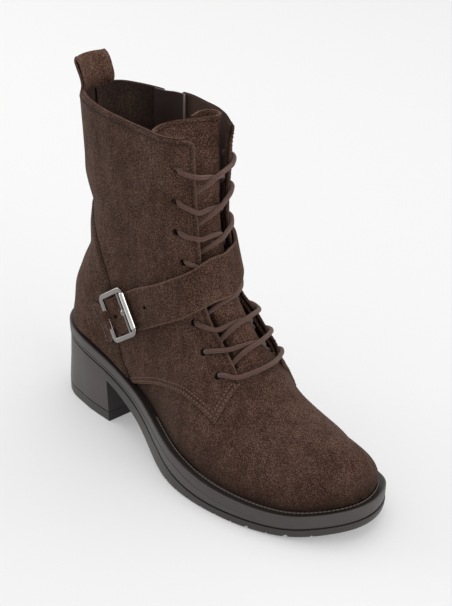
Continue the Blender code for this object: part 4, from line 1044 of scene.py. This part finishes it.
def tubeMesh(path, radius, sides):  # points, faces and corner UVs of a round cord
    along = unit(np.gradient(path, axis=0))
    run = runOf(path)
    spokes = circle(0.0, 0.0, radius, turns(sides))
    first = np.cross(along[0], (0.31, 0.22, 1.0))
    points, uvs = [], []
    for centre, ahead in zip(path, along):
        first = unit(first - ahead * (first @ ahead))
        points.append(centre + spokes @ np.array([first, np.cross(ahead, first)]))
    for i in range(len(path) - 1):
        for k in range(sides):
            uvs += [(k / sides, run[i]), ((k + 1) / sides, run[i]), ((k + 1) / sides, run[i + 1]),
                    (k / sides, run[i + 1])]
    uvs += [(0.0, 0.0)] * (2 * sides)
    return np.concatenate(points), ringFaces(len(path), sides), uvs


# One lace: out of a hole, over its facing, across the tongue, under the other facing to the next hole.
# A row of runs tells how far down it is at its own facing edge, the middle and the other facing edge.
# A tuck is how high it lies before the middle, past it, at the other facing's edge and under that facing.
# A climb out of a hole is the turn from the hole, whether the run has begun, and the height.
# The bar's rows are turn and drop.
laceHigh = panelHigh + 1.38
laceLook = {
    "radius": 1.45, "over": laceHigh, "below": -1.1, "above": 1.8, "press": 1.3, "step": 1.1, "sides": 12,
    "climb": [(0.002, 0, -3.7), (0.008, 0, -0.6), (0.022, 1, laceHigh - 0.7), (0.04, 1, laceHigh - 0.05)],
    "runs": {-1: [(0.44, 0.83, 0.93), (0.68, 0.87, 0.95), (0.60, 0.77, 0.92), (0.50, 0.80, 0.92),
                  (0.50, 0.80, 0.92), (0.64, 0.86, 0.95), (0.50, 0.83, 0.94)],
             1: [(0.46, 0.68, 1.05), (0.46, 0.82, 1.10), (0.56, 0.86, 1.00), (0.50, 0.85, 0.98),
                 (0.28, 0.84, 1.00), (0.50, 0.87, 1.03), (0.50, 0.90, 0.98)]},
    "tuck": {-1: (-0.6, -1.8, -2.8, -3.2), 1: (2.3, 1.2, -1.3, -2.4)},
    "bar": [(-0.429, 0.0), (-0.423, 0.0), (-0.409, 0.05), (-0.385, 0.17), (-0.31, 0.55), (-0.19, 0.73),
            (0.03, 0.80), (0.18, 0.66), (0.31, 0.36), (0.385, 0.12), (0.409, 0.03), (0.423, 0.0),
            (0.429, 0.0)],
    "barHigh": [laceHigh, 2.0, 1.5, 1.8, laceHigh], "strapRows": (10.3, 11.0, 12.6, 13.4)}


def laceRun(row, side):
    (t0, a0), (t1, a1) = eyeletAt[row], eyeletAt[row + 1]
    lip, middle, far = laceLook["runs"][side][row]
    crossing = laceLook["below" if side < 0 else "above"]
    before, past, edge, under = laceLook["tuck"][side]

    def at(u):
        return t0 + u * (t1 - t0)
    near, beyond = facingTurn(at(lip)), facingTurn(at(far))
    over, gap = laceLook["over"], a0 - near
    keys = [(begun * turn / gap * lip, turn - a0, high, 1.0) for turn, begun, high in laceLook["climb"]]
    keys += [(0.72 * lip, -near - 0.3 * gap, over, 1.0), (lip, -near, over - 0.1, 1.0),
             (lip + 0.62 * (middle - lip), -0.5 * near, before, 0.4), (middle, 0.0, crossing, 0.0),
             (middle + 0.55 * (far - middle), 0.55 * beyond, past, 0.0), (far, beyond, edge, 0.0),
             ((1 + far) / 2, (beyond + a1) / 2, under, 0.6)]
    u, a, off, share = np.array(keys).T
    t, a = at(u), -side * a
    pressed = laceLook["press"] * (1 - share) * within(laceLook["strapRows"], t)
    return form(t, a, off + puffAt(t, a) - pressed + share * flareAt(t, a))


def laceBar():
    a, drop = np.array(laceLook["bar"]).T
    t = eyeletAt[-1][0] - drop
    climb = np.array(laceLook["climb"])[:, 2]
    return form(t, a, np.r_[climb, laceLook["barHigh"], climb[::-1]] + flareAt(t, a))


def laceChain(side):  # from a top hole down to the last pair
    runs = []
    for k in range(len(eyeletAt) - 1):
        runs.append(laceRun(k, -side))
        side = -side
    return np.concatenate(runs), side


firstHalf, endSide = laceChain(1)
secondHalf, _ = laceChain(-1)
bar = laceBar() if endSide > 0 else laceBar()[::-1]
laceKeys = np.concatenate([firstHalf, bar, secondHalf[::-1]])
laceLength = runOf(laceKeys)[-1]
lacePath = resample(even(laceKeys, 6000), int(laceLength / laceLook["step"]))
lacePoints, laceFaces, laceRunUv = tubeMesh(lacePath, laceLook["radius"], laceLook["sides"])
lace = makePiece("lace", lacePoints, laceFaces, run=laceRunUv)
dress(lace, [f"lace_cross_{k}" for k in range(1, 8)] + ["lace_bar"], [laceCord], angle=60.0)
print("lace done", round(laceLength), "mm")


def sampleGrid(grid, flat):  # rows and columns of a grid at sheet points from 0 to 1
    rows, cols = grid.shape[:2]
    x, y = np.clip(flat[:, 0], 0, 1) * (rows - 1), np.clip(flat[:, 1], 0, 1) * (cols - 1)
    i, j = np.minimum(x.astype(int), rows - 2), np.minimum(y.astype(int), cols - 2)
    x, y = (x - i)[:, None], (y - j)[:, None]
    near = grid[i, j] * (1 - x) + grid[i + 1, j] * x
    far = grid[i, j + 1] * (1 - x) + grid[i + 1, j + 1] * x
    return near * (1 - y) + far * y


def stripField(upperEdge, lowerEdge, lifts, rows=150, cols=25):  # station, turn and lift of a strip
    table = np.concatenate([upperEdge, lowerEdge, lifts], 1)
    number = np.arange(len(table), dtype=float)
    fine = np.linspace(0.0, number[-1], rows)
    ut, ua, lt, la, upLift, lowLift = [spline(number, table[:, k])(fine)[:, None] for k in range(6)]
    u = np.linspace(0.0, 1.0, cols)
    t, a = ut + (lt - ut) * u, ua + (la - ua) * u
    high, low = skin(ut, ua)[..., [0, 2]], skin(lt, la)[..., [0, 2]]
    weight = smoothStep(0.2, 0.42, np.minimum(np.abs(ua), np.abs(la)))
    for i in np.nonzero(weight[:, 0] > 0)[0]:
        sideT, sideA = locate(high[i] + (low[i] - high[i]) * u[:, None], np.sign(ua[i, 0])).T
        t[i] += weight[i] * (sideT - t[i])
        a[i] += weight[i] * (sideA - a[i])
    return np.stack([t, a, upLift + (lowLift - upLift) * u], -1)


def onStrip(field, size, thick):
    def place(flat, off):
        t, a, lift = sampleGrid(field, flat / size).T
        return form(t, a, lift + thick + off)
    return place


def stripEdge(size, kinds, corner=1.5):  # a strip with kinds for start, upper, end and lower edge
    length, width = size
    c = corner
    start, up, end, low = kinds
    return [(cornerArc(c, c, c, 270, 180), start), (straight((0, c), (0, width - c)), start),
            (cornerArc(c, width - c, c, 180, 90), start), (straight((c, width), (length - c, width)), low),
            (cornerArc(length - c, width - c, c, 90, 0), end),
            (straight((length, width - c), (length, c)), end),
            (cornerArc(length - c, c, c, 0, -90), end), (straight((length - c, 0), (c, 0)), up)]


# Strap over the instep: upper edge x, z, lower edge x, z, side, clearance under either edge.
strapLook = {
    "rows": [(68.1, 91.4, 75.8, 70.2, -1, 3.9, 3.9), (90.7, 106.5, 103.7, 84.9, -1, 2.5, 2.5),
             (113.7, 119.0, 120.5, 95.0, -1, 4.0, 4.4), (130.5, 130.5, 134.0, 103.4, -1, 5.2, 5.8),
             (136.6, 138.2, 142.6, 111.2, -1, 4.4, 5.0), (139.5, 140.4, 147.2, 115.4, -1, 2.6, 3.0),
             (133.0, 140.8, 136.6, 120.0, 1, 3.2, 3.8), (120.0, 142.0, 118.5, 121.0, 1, 2.8, 3.6),
             (105.0, 143.5, 103.0, 120.5, 1, 2.2, 2.6), (90.0, 145.0, 88.0, 120.0, 1, 2.0, 2.0)],
    "thick": 1.9, "size": np.array([175.0, 25.0]), "holes": [(4.2, 13.0), (26.0, 12.4)], "hole": 1.35}


def bothSides(rows):
    return np.concatenate([locate([row[:2]], row[2]) for row in rows])


strapTable = np.array(strapLook["rows"])
strapEdges = [bothSides(strapTable[:, columns]) for columns in ([0, 1, 4], [2, 3, 4])]
strapField = stripField(*strapEdges, strapTable[:, 5:])
instepStrap = cutSheet("instepStrap", stripEdge(strapLook["size"], ("cut", "cut", "hidden", "cut")),
                       onStrip(strapField, strapLook["size"], strapLook["thick"]), strapLook["thick"],
                       [punched(x, y, strapLook["hole"]) for x, y in strapLook["holes"]])
dress(instepStrap, ["instep_strap"], [suede])


def seatOn(at, side, along):  # a frame on the form: its origin and the directions along, across and out
    t, a = locate([at], side)[0]
    origin = form(t, a)
    out = unit(form(t, a, 1.0) - origin)
    along = unit(along - out * (along @ out))
    return origin, along, np.cross(along, out), out


# Buckle in its own frame: along the strap, across it, out from the boot. Pin rows are across and radius.
buckle = {"at": (82.3, 87.0), "along": 13.1, "across": 15.9, "out": 6.6, "corner": 4.4, "bar": 3.3,
          "thick": 2.1, "round": 0.75, "rollerAt": 11.6, "roller": 2.0, "rollerBore": 1.2, "rollerEdge": 0.25,
          "rollerHalf": 11.6, "pinAt": 6.6, "view": (0.82, 0.57),
          "pin": [(-13.2, 0.8), (-2.1, 0.8), (-1.7, 1.25), (-1.1, 1.65), (-0.4, 1.9), (0.4, 1.9), (1.1, 1.65),
                  (1.7, 1.25), (2.1, 0.8), (13.2, 0.8)]}
buckleOrigin, *buckleBasis = seatOn(buckle["at"], -1, np.array([buckle["view"][0], 0.0, buckle["view"][1]]))


def onBuckle(along, across, out):
    return buckleOrigin + np.array([along, across, out]) @ np.array(buckleBasis)


def framePlace(origin, axes):  # matrix from a local frame in mm to the scene
    place = np.identity(4)
    place[:3, :3] = np.transpose(axes) * 0.001
    place[:3, 3] = toScene(origin)
    return Matrix(place.tolist())


bpy.ops.mesh.primitive_plane_add(size=2.0, location=(0.0, 0.0, 0.0))
buckleFrame = bpy.context.object
buckleFrame.name = "buckleFrame"
editAll(buckleFrame)
bpy.ops.transform.resize(value=(buckle["along"], buckle["across"], 1.0))
bpy.ops.mesh.bevel(offset=buckle["corner"], affect='VERTICES', segments=8)
bpy.ops.mesh.select_all(action='SELECT')
bpy.ops.mesh.inset(thickness=buckle["bar"])
bpy.ops.mesh.delete(type='FACE')
bpy.ops.object.mode_set(mode='OBJECT')
addModifier(buckleFrame, 'SOLIDIFY', thickness=buckle["thick"], offset=0.0)
bevelEdges(buckleFrame, buckle["round"], 4, 50)
buckleFrame.data.transform(framePlace(onBuckle(0.0, 0.0, buckle["out"]), buckleBasis))
recalc(buckleFrame)
dress(buckleFrame, ["buckle_frame"], [nickel])


def turned(name, rows, along, sides):  # a piece turned on a line across the buckle
    points = [onBuckle(along + x, across, buckle["out"] + z) for across, radius in rows
              for x, z in circle(0.0, 0.0, radius, turns(sides))]
    piece = makePiece(name, points, ringFaces(len(rows), sides))
    recalc(piece)
    return piece


rollerHalf, rollerEdge, roller = buckle["rollerHalf"], buckle["rollerEdge"], buckle["roller"]
rollerRows = [(rollerHalf, buckle["rollerBore"]), (rollerHalf, roller - rollerEdge),
              (rollerHalf - rollerEdge, roller)]
rollerRows = [(-across, radius) for across, radius in rollerRows] + rollerRows[::-1]
buckleRoller = turned("buckleRoller", rollerRows, buckle["rollerAt"], 24)
dress(buckleRoller, (), [litRollerNickel])
bucklePin = turned("bucklePin", buckle["pin"], buckle["pinAt"], 20)
dress(bucklePin, ["buckle_pin"], [nickel])

# Holding strap: distance along from the buckle's middle, half width, clearance.
baseLook = {"rows": [(-32.0, 12.6, 2.75), (-25.0, 13.0, 2.75), (-20.0, 9.0, 2.75), (-17.4, 6.2, 3.4),
                     (-15.4, 6.0, 7.0), (-13.6, 6.0, 8.6), (-11.2, 6.0, 8.6), (-9.8, 6.0, 6.4),
                     (-9.4, 6.0, 3.4), (-8.0, 6.0, 2.0)],
            "thick": 1.5, "size": np.array([30.0, 20.0]), "row": 2.4}
baseTable = np.array(baseLook["rows"])
viewAlong = np.array(buckle["view"])
viewAcross = np.array([-viewAlong[1], viewAlong[0]])
baseMiddle = np.array(buckle["at"]) + baseTable[:, :1] * viewAlong
baseField = stripField(locate(baseMiddle + baseTable[:, 1:2] * viewAcross, -1),
                       locate(baseMiddle - baseTable[:, 1:2] * viewAcross, -1), baseTable[:, [2, 2]], 120)
strapBase = cutSheet("strapBase", stripEdge(baseLook["size"], ("sewn", "cut", "cut", "cut")),
                     onStrip(baseField, baseLook["size"], baseLook["thick"]), baseLook["thick"], (),
                     (baseLook["row"],), flat=0.6)
dress(strapBase, ["strap_base"], [suede])
print("strap and buckle done")

# Pull loop: x, z along the strip and how far it follows the round of the collar.
loopLook = {"path": [(20.4, 208.6, 1.0), (21.6, 211.0, 1.0), (23.0, 214.5, 0.95), (21.9, 223.0, 0.8),
                     (18.0, 230.2, 0.7), (14.2, 231.6, 0.66), (11.6, 228.0, 0.68), (13.4, 222.8, 0.76),
                     (15.8, 217.6, 0.85), (16.4, 213.6, 0.93), (15.0, 210.2, 1.0), (14.4, 206.0, 1.0),
                     (15.0, 200.0, 1.0), (15.4, 195.0, 1.0)],
            "edges": (-12.2, 10.2), "thick": 1.7, "depth": 55.0, "round": 27.0}
loopPath = even(loopLook["path"], 240)
loopSlope = unit(np.gradient(loopPath[:, :2], axis=0))
loopTable = np.concatenate([loopPath, -loopSlope[:, 1:], loopSlope[:, :1]], 1)
loopSize = np.array([runOf(loopPath[:, :2])[-1], loopLook["edges"][1] - loopLook["edges"][0]])


def onLoop(flat, off):
    along = np.linspace(0.0, loopSize[0], len(loopTable))
    x, z, follow, outX, outZ = [np.interp(flat[:, 0], along, column) for column in loopTable.T]
    y = loopLook["edges"][0] + flat[:, 1]
    bow = loopLook["depth"] * (1 - np.sqrt(1 - (y / loopLook["round"]) ** 2))
    lift = loopLook["thick"] / 2 + off
    return np.stack([x + lift * outX + follow * bow, y, z + lift * outZ], -1)


pullLoop = cutSheet("pullLoop", stripEdge(loopSize, ("hidden", "cut", "cut", "cut"), 0.8), onLoop,
                    loopLook["thick"], edgeTone=0.25)
dress(pullLoop, ["pull_loop"], [suedeLoop])
print("loop done")

# Zip on the inner side: tapes, teeth, slider, pull tab and the guard behind them. Slider rows are down, half
# width, low, high. Bail rows are down and out. Pull rows are down and half width.
zipLook = {"tape": 5.2, "tapeOff": 0.26, "tapeThick": 0.22, "tapeTop": (62.1, 200.0), "pitch": 1.5,
           "tooth": (0.8, 2.0, 1.0), "toothOff": 0.85, "toothShift": 0.75, "toothRound": 0.18,
           "guard": 13.0, "guardThick": 1.2, "guardTop": (62.3, 210.4), "guardRise": 0.4,
           "slider": (62.4, 182.94), "sliderRound": 0.5, "bailRadius": 0.5,
           "sliderRows": [(-6.0, 3.6, 1.75, 3.4), (-4.5, 4.0, 1.75, 4.1), (2.0, 3.6, 1.75, 4.1),
                          (6.0, 2.6, 1.75, 3.2)],
           "bail": [(-3.2, 3.6), (-3.15, 5.4), (-2.7, 6.9), (-1.0, 7.5), (0.6, 6.9), (1.15, 5.4), (1.2, 3.6)],
           "pull": [(-1.75, 0.9), (-1.3, 1.7), (0.0, 2.1), (6.0, 3.0), (20.0, 3.0), (22.3, 2.2), (23.0, 1.0)],
           "pullSlot": [(-0.45, 1.15), (1.6, 1.15), (2.2, 0.6)], "pullOut": 6.3, "pullThick": 1.2,
           "pullRound": 0.3, "pullStep": 0.8}
chainLine = even(zipLine[:-2, :2], 200)
guardLine = even(np.r_[zipLine[1:-1, :2], [zipLook["guardTop"]]], 120)
tapeLine = even(np.r_[zipLine[:-2, :2], [zipLook["tapeTop"]]], 160)


def flatStrip(name, line, half, offset, thick, cols, rise=0.0):
    grid = np.stack([locate(beside(line, w), 1) for w in np.linspace(-half, half, cols)], 1)
    points = form(grid[..., 0], grid[..., 1], offset)
    points[..., 2] += rise * smoothStep(190.0, 210.0, points[..., 2])
    piece = makePiece(name, points, gridFaces(len(line), cols),
                      {"edge": np.tile(np.arange(cols) == cols - 1, len(line))})
    return thicken(piece, thick)


zipTapes = flatStrip("zipTapes", tapeLine, zipLook["tape"], zipLook["tapeOff"], zipLook["tapeThick"], 9)
dress(zipTapes, ["zip_chain"], [zipTape])
boxCorners = np.array([(x, y, z) for x in (-0.5, 0.5) for y in (-0.5, 0.5) for z in (-0.5, 0.5)])
boxFaces = np.array([(0, 1, 3, 2), (4, 6, 7, 5), (0, 4, 5, 1), (2, 3, 7, 6), (0, 2, 6, 4), (1, 5, 7, 3)])
toothCount = int(2 * runOf(chainLine)[-1] / zipLook["pitch"])
toothTurn = locate(resample(chainLine, toothCount), 1)
toothBase = form(*toothTurn.T, zipLook["toothOff"])
toothOut = form(*toothTurn.T, zipLook["toothOff"] + 1.0) - toothBase
toothAlong = unit(np.gradient(toothBase, axis=0))
toothAcross = np.cross(toothOut, toothAlong)
toothSide = np.where(np.arange(toothCount) % 2, 1.0, -1.0)[:, None]
toothBasis = np.stack([toothAlong, toothAcross, toothOut], 1)
toothPoints = (toothBase + toothAcross * toothSide * zipLook["toothShift"])[:, None]
toothPoints = toothPoints + (boxCorners * zipLook["tooth"]) @ toothBasis
toothFaces = (boxFaces[None] + 8 * np.arange(toothCount)[:, None, None]).reshape(-1, 4)
zipTeeth = makePiece("zipTeeth", toothPoints, toothFaces)
recalc(zipTeeth)
bevelEdges(zipTeeth, zipLook["toothRound"] * 0.001, 2, 40)
dress(zipTeeth, (), [zipMetal])
zipGuard = flatStrip("zipGuard", guardLine, zipLook["guard"], -last["wall"] - last["fit"],
                     zipLook["guardThick"], 25, zipLook["guardRise"])
dress(zipGuard, ["zip_guard"], [smoothLeather])
sliderOrigin, sliderDown, sliderAcross, sliderOut = seatOn(zipLook["slider"], 1, np.array([0.02, 0.0, -1.0]))


def onSlider(points):  # across, down and out of the slider
    return sliderOrigin + np.asarray(points, float) @ np.array([sliderAcross, sliderDown, sliderOut])


sliderPoints = [(side * half, down, level) for down, half, low, high in zipLook["sliderRows"]
                for side, level in ((-1, low), (1, low), (1, high), (-1, high))]
zipSlider = makePiece("zipSlider", onSlider(sliderPoints), ringFaces(len(zipLook["sliderRows"]), 4))
recalc(zipSlider)
bevelEdges(zipSlider, zipLook["sliderRound"] * 0.001, 3, 30)
bailPath = onSlider(even([(0.0, down, out) for down, out in zipLook["bail"]], 40))
bailPoints, bailFaces, _ = tubeMesh(bailPath, zipLook["bailRadius"], 12)
zipBail = makePiece("zipBail", bailPoints, bailFaces)
recalc(zipBail)
dress(zipSlider, ["zip_slider"], [zipMetal])
dress(zipBail, (), [zipMetal])


def bothHalves(rows):
    right = [(half, down) for down, half in rows]
    return np.array(right + [(-x, y) for x, y in right[::-1]])


def onPull(flat, off):
    return onSlider(np.stack([*flat.T, np.full(len(flat), zipLook["pullOut"]) + off], -1))


pullEdge = bothHalves(zipLook["pull"])
pullEdge = even(np.r_[pullEdge, pullEdge[:1]], 90)[:-1]
zipPull = cutSheet("zipPull", [(pullEdge, "cut")], onPull, zipLook["pullThick"],
                   [bothHalves(zipLook["pullSlot"])], step=zipLook["pullStep"], roll=0.0)
bevelEdges(zipPull, zipLook["pullRound"] * 0.001, 2, 60)
dress(zipPull, ["zip_pull"], [zipMetal], "pull_tab")
print("zip done")


def stitchMesh(name, rows, material, dash):  # all stitches of the rows as one mesh of capsules
    rings, sides = stitch["rings"], stitch["sides"]
    centres, alongs = [], []
    for line in rows:
        count = int(runOf(line)[-1] / stitch["pitch"])
        if count < 2:
            continue
        fine = resample(line, 4 * count + 1)
        centres.append(fine[2::4])
        alongs.append(unit(fine[3::4] - fine[1::4]))
    centres, alongs = np.concatenate(centres), np.concatenate(alongs)
    first = unit(np.cross(alongs, (0.21, 0.13, 0.97)))
    second = np.cross(alongs, first)
    spokes = circle(0.0, 0.0, stitch["radius"], turns(sides))
    points = np.stack([centres + alongs * u * dash + (x * first + y * second) * r
                       for u, r in rings for x, y in spokes], 1)
    size, one = len(rings) * sides, ringFaces(len(rings), sides)
    faces = [tuple(v + size * n for v in face) for n in range(len(centres)) for face in one]
    piece = makePiece(name, points, faces)
    recalc(piece, 1e-9)
    dress(piece, (), [material], angle=70.0)
    return len(centres)


# The dark stitch rows are painted shade of the needle holes.
stitchCount = stitchMesh("holeShadeStitches", stitchRows["dark"], holeShadeThread, stitch["length"])
stitchCount += stitchMesh("footStitches", stitchRows["foot"], footThread, stitch["foot"])
weltSew = {"in": 1.0, "above": 0.15, "from": 118.0}
weltLine = inset(outline, ledgeAt(outline[:, 0]) - weltSew["in"])
weltRun = np.stack([*weltLine.T, soleTop(weltLine[:, 0]) + weltSew["above"]], -1)
front = weltRun[:, 0] > weltSew["from"]
weltRun = np.roll(weltRun, -int(np.nonzero(front & ~np.roll(front, 1))[0][0]), 0)
weltRun = weltRun[weltRun[:, 0] > weltSew["from"]]
stitchCount += stitchMesh("weltStitches", [weltRun], paleThread, stitch["welt"])
print("stitches done", stitchCount)

# Camera and light, from the photo's viewing angle.
view = {"azimuth": 48.416, "elevation": 27.321, "distance": 0.9, "focal": 1497.903,
        "centre": (214.55, 306.382), "frame": (452, 606), "target": (131.0, 0.0, 100.0), "sensor": 36.0}
turn, rise = math.radians(view["azimuth"]), math.radians(view["elevation"])
back = Vector((math.sin(turn) * math.cos(rise), -math.cos(turn) * math.cos(rise), math.sin(rise)))
target = Vector(toScene(view["target"]))
bpy.ops.object.camera_add(location=target + back * view["distance"],
                          rotation=back.to_track_quat('Z', 'Y').to_euler())
camera = bpy.context.object
camera.data.sensor_fit = 'HORIZONTAL'
camera.data.sensor_width = view["sensor"]
camera.data.lens = view["focal"] / view["frame"][0] * view["sensor"]
camera.data.shift_x = (view["frame"][0] / 2 - view["centre"][0]) / view["frame"][0]
camera.data.shift_y = (view["centre"][1] - view["frame"][1] / 2) / view["frame"][0]
bpy.context.scene.camera = camera

light = {"horizon": 0.45, "zenith": 1.0, "floor": 0.48, "glow": 0.28, "areas": [  # place, size, power
    ((-0.2, 0.5, 1.7), 1.6, 11.0), ((-1.7, -0.5, 0.7), 1.5, 17.0), ((1.6, 0.0, 0.75), 1.3, 13.0)]}
bpy.ops.mesh.primitive_plane_add(size=8.0, location=(0.0, 0.0, 0.0))
floor = bpy.context.object
floor.name = "floor"
floor.data.materials.append(Paint("paleFloor").finish(
    Base_Color=tinted((1.0, 1.0, 1.0), light["floor"]), Roughness=0.9, Specular_IOR_Level=0.1,
    Emission_Color=(1.0, 1.0, 1.0, 1.0), Emission_Strength=light["glow"]))
for place, size, power in light["areas"]:
    direction = Vector(place) - target
    bpy.ops.object.light_add(type='AREA', location=place,
                             rotation=direction.to_track_quat('Z', 'Y').to_euler())
    bpy.context.object.data.size = size
    bpy.context.object.data.energy = power
world = bpy.data.worlds.new("studio")
world.use_nodes = True
sky = world.node_tree.nodes
skyAt, skySplit, skyRamp = [sky.new(kind) for kind in (
    'ShaderNodeTexCoord', 'ShaderNodeSeparateXYZ', 'ShaderNodeMapRange')]
skyRamp.inputs["To Min"].default_value = light["horizon"]
skyRamp.inputs["To Max"].default_value = light["zenith"]
for outlet, inlet in ((skyAt.outputs["Generated"], skySplit.inputs[0]),
                      (skySplit.outputs[2], skyRamp.inputs[0]),
                      (skyRamp.outputs[0], sky["Background"].inputs["Strength"])):
    world.node_tree.links.new(outlet, inlet)
sky["Background"].inputs["Color"].default_value = (1.0, 1.0, 1.0, 1.0)
bpy.context.scene.world = world
bpy.context.scene.view_settings.view_transform = 'Standard'
print("camera and light set")
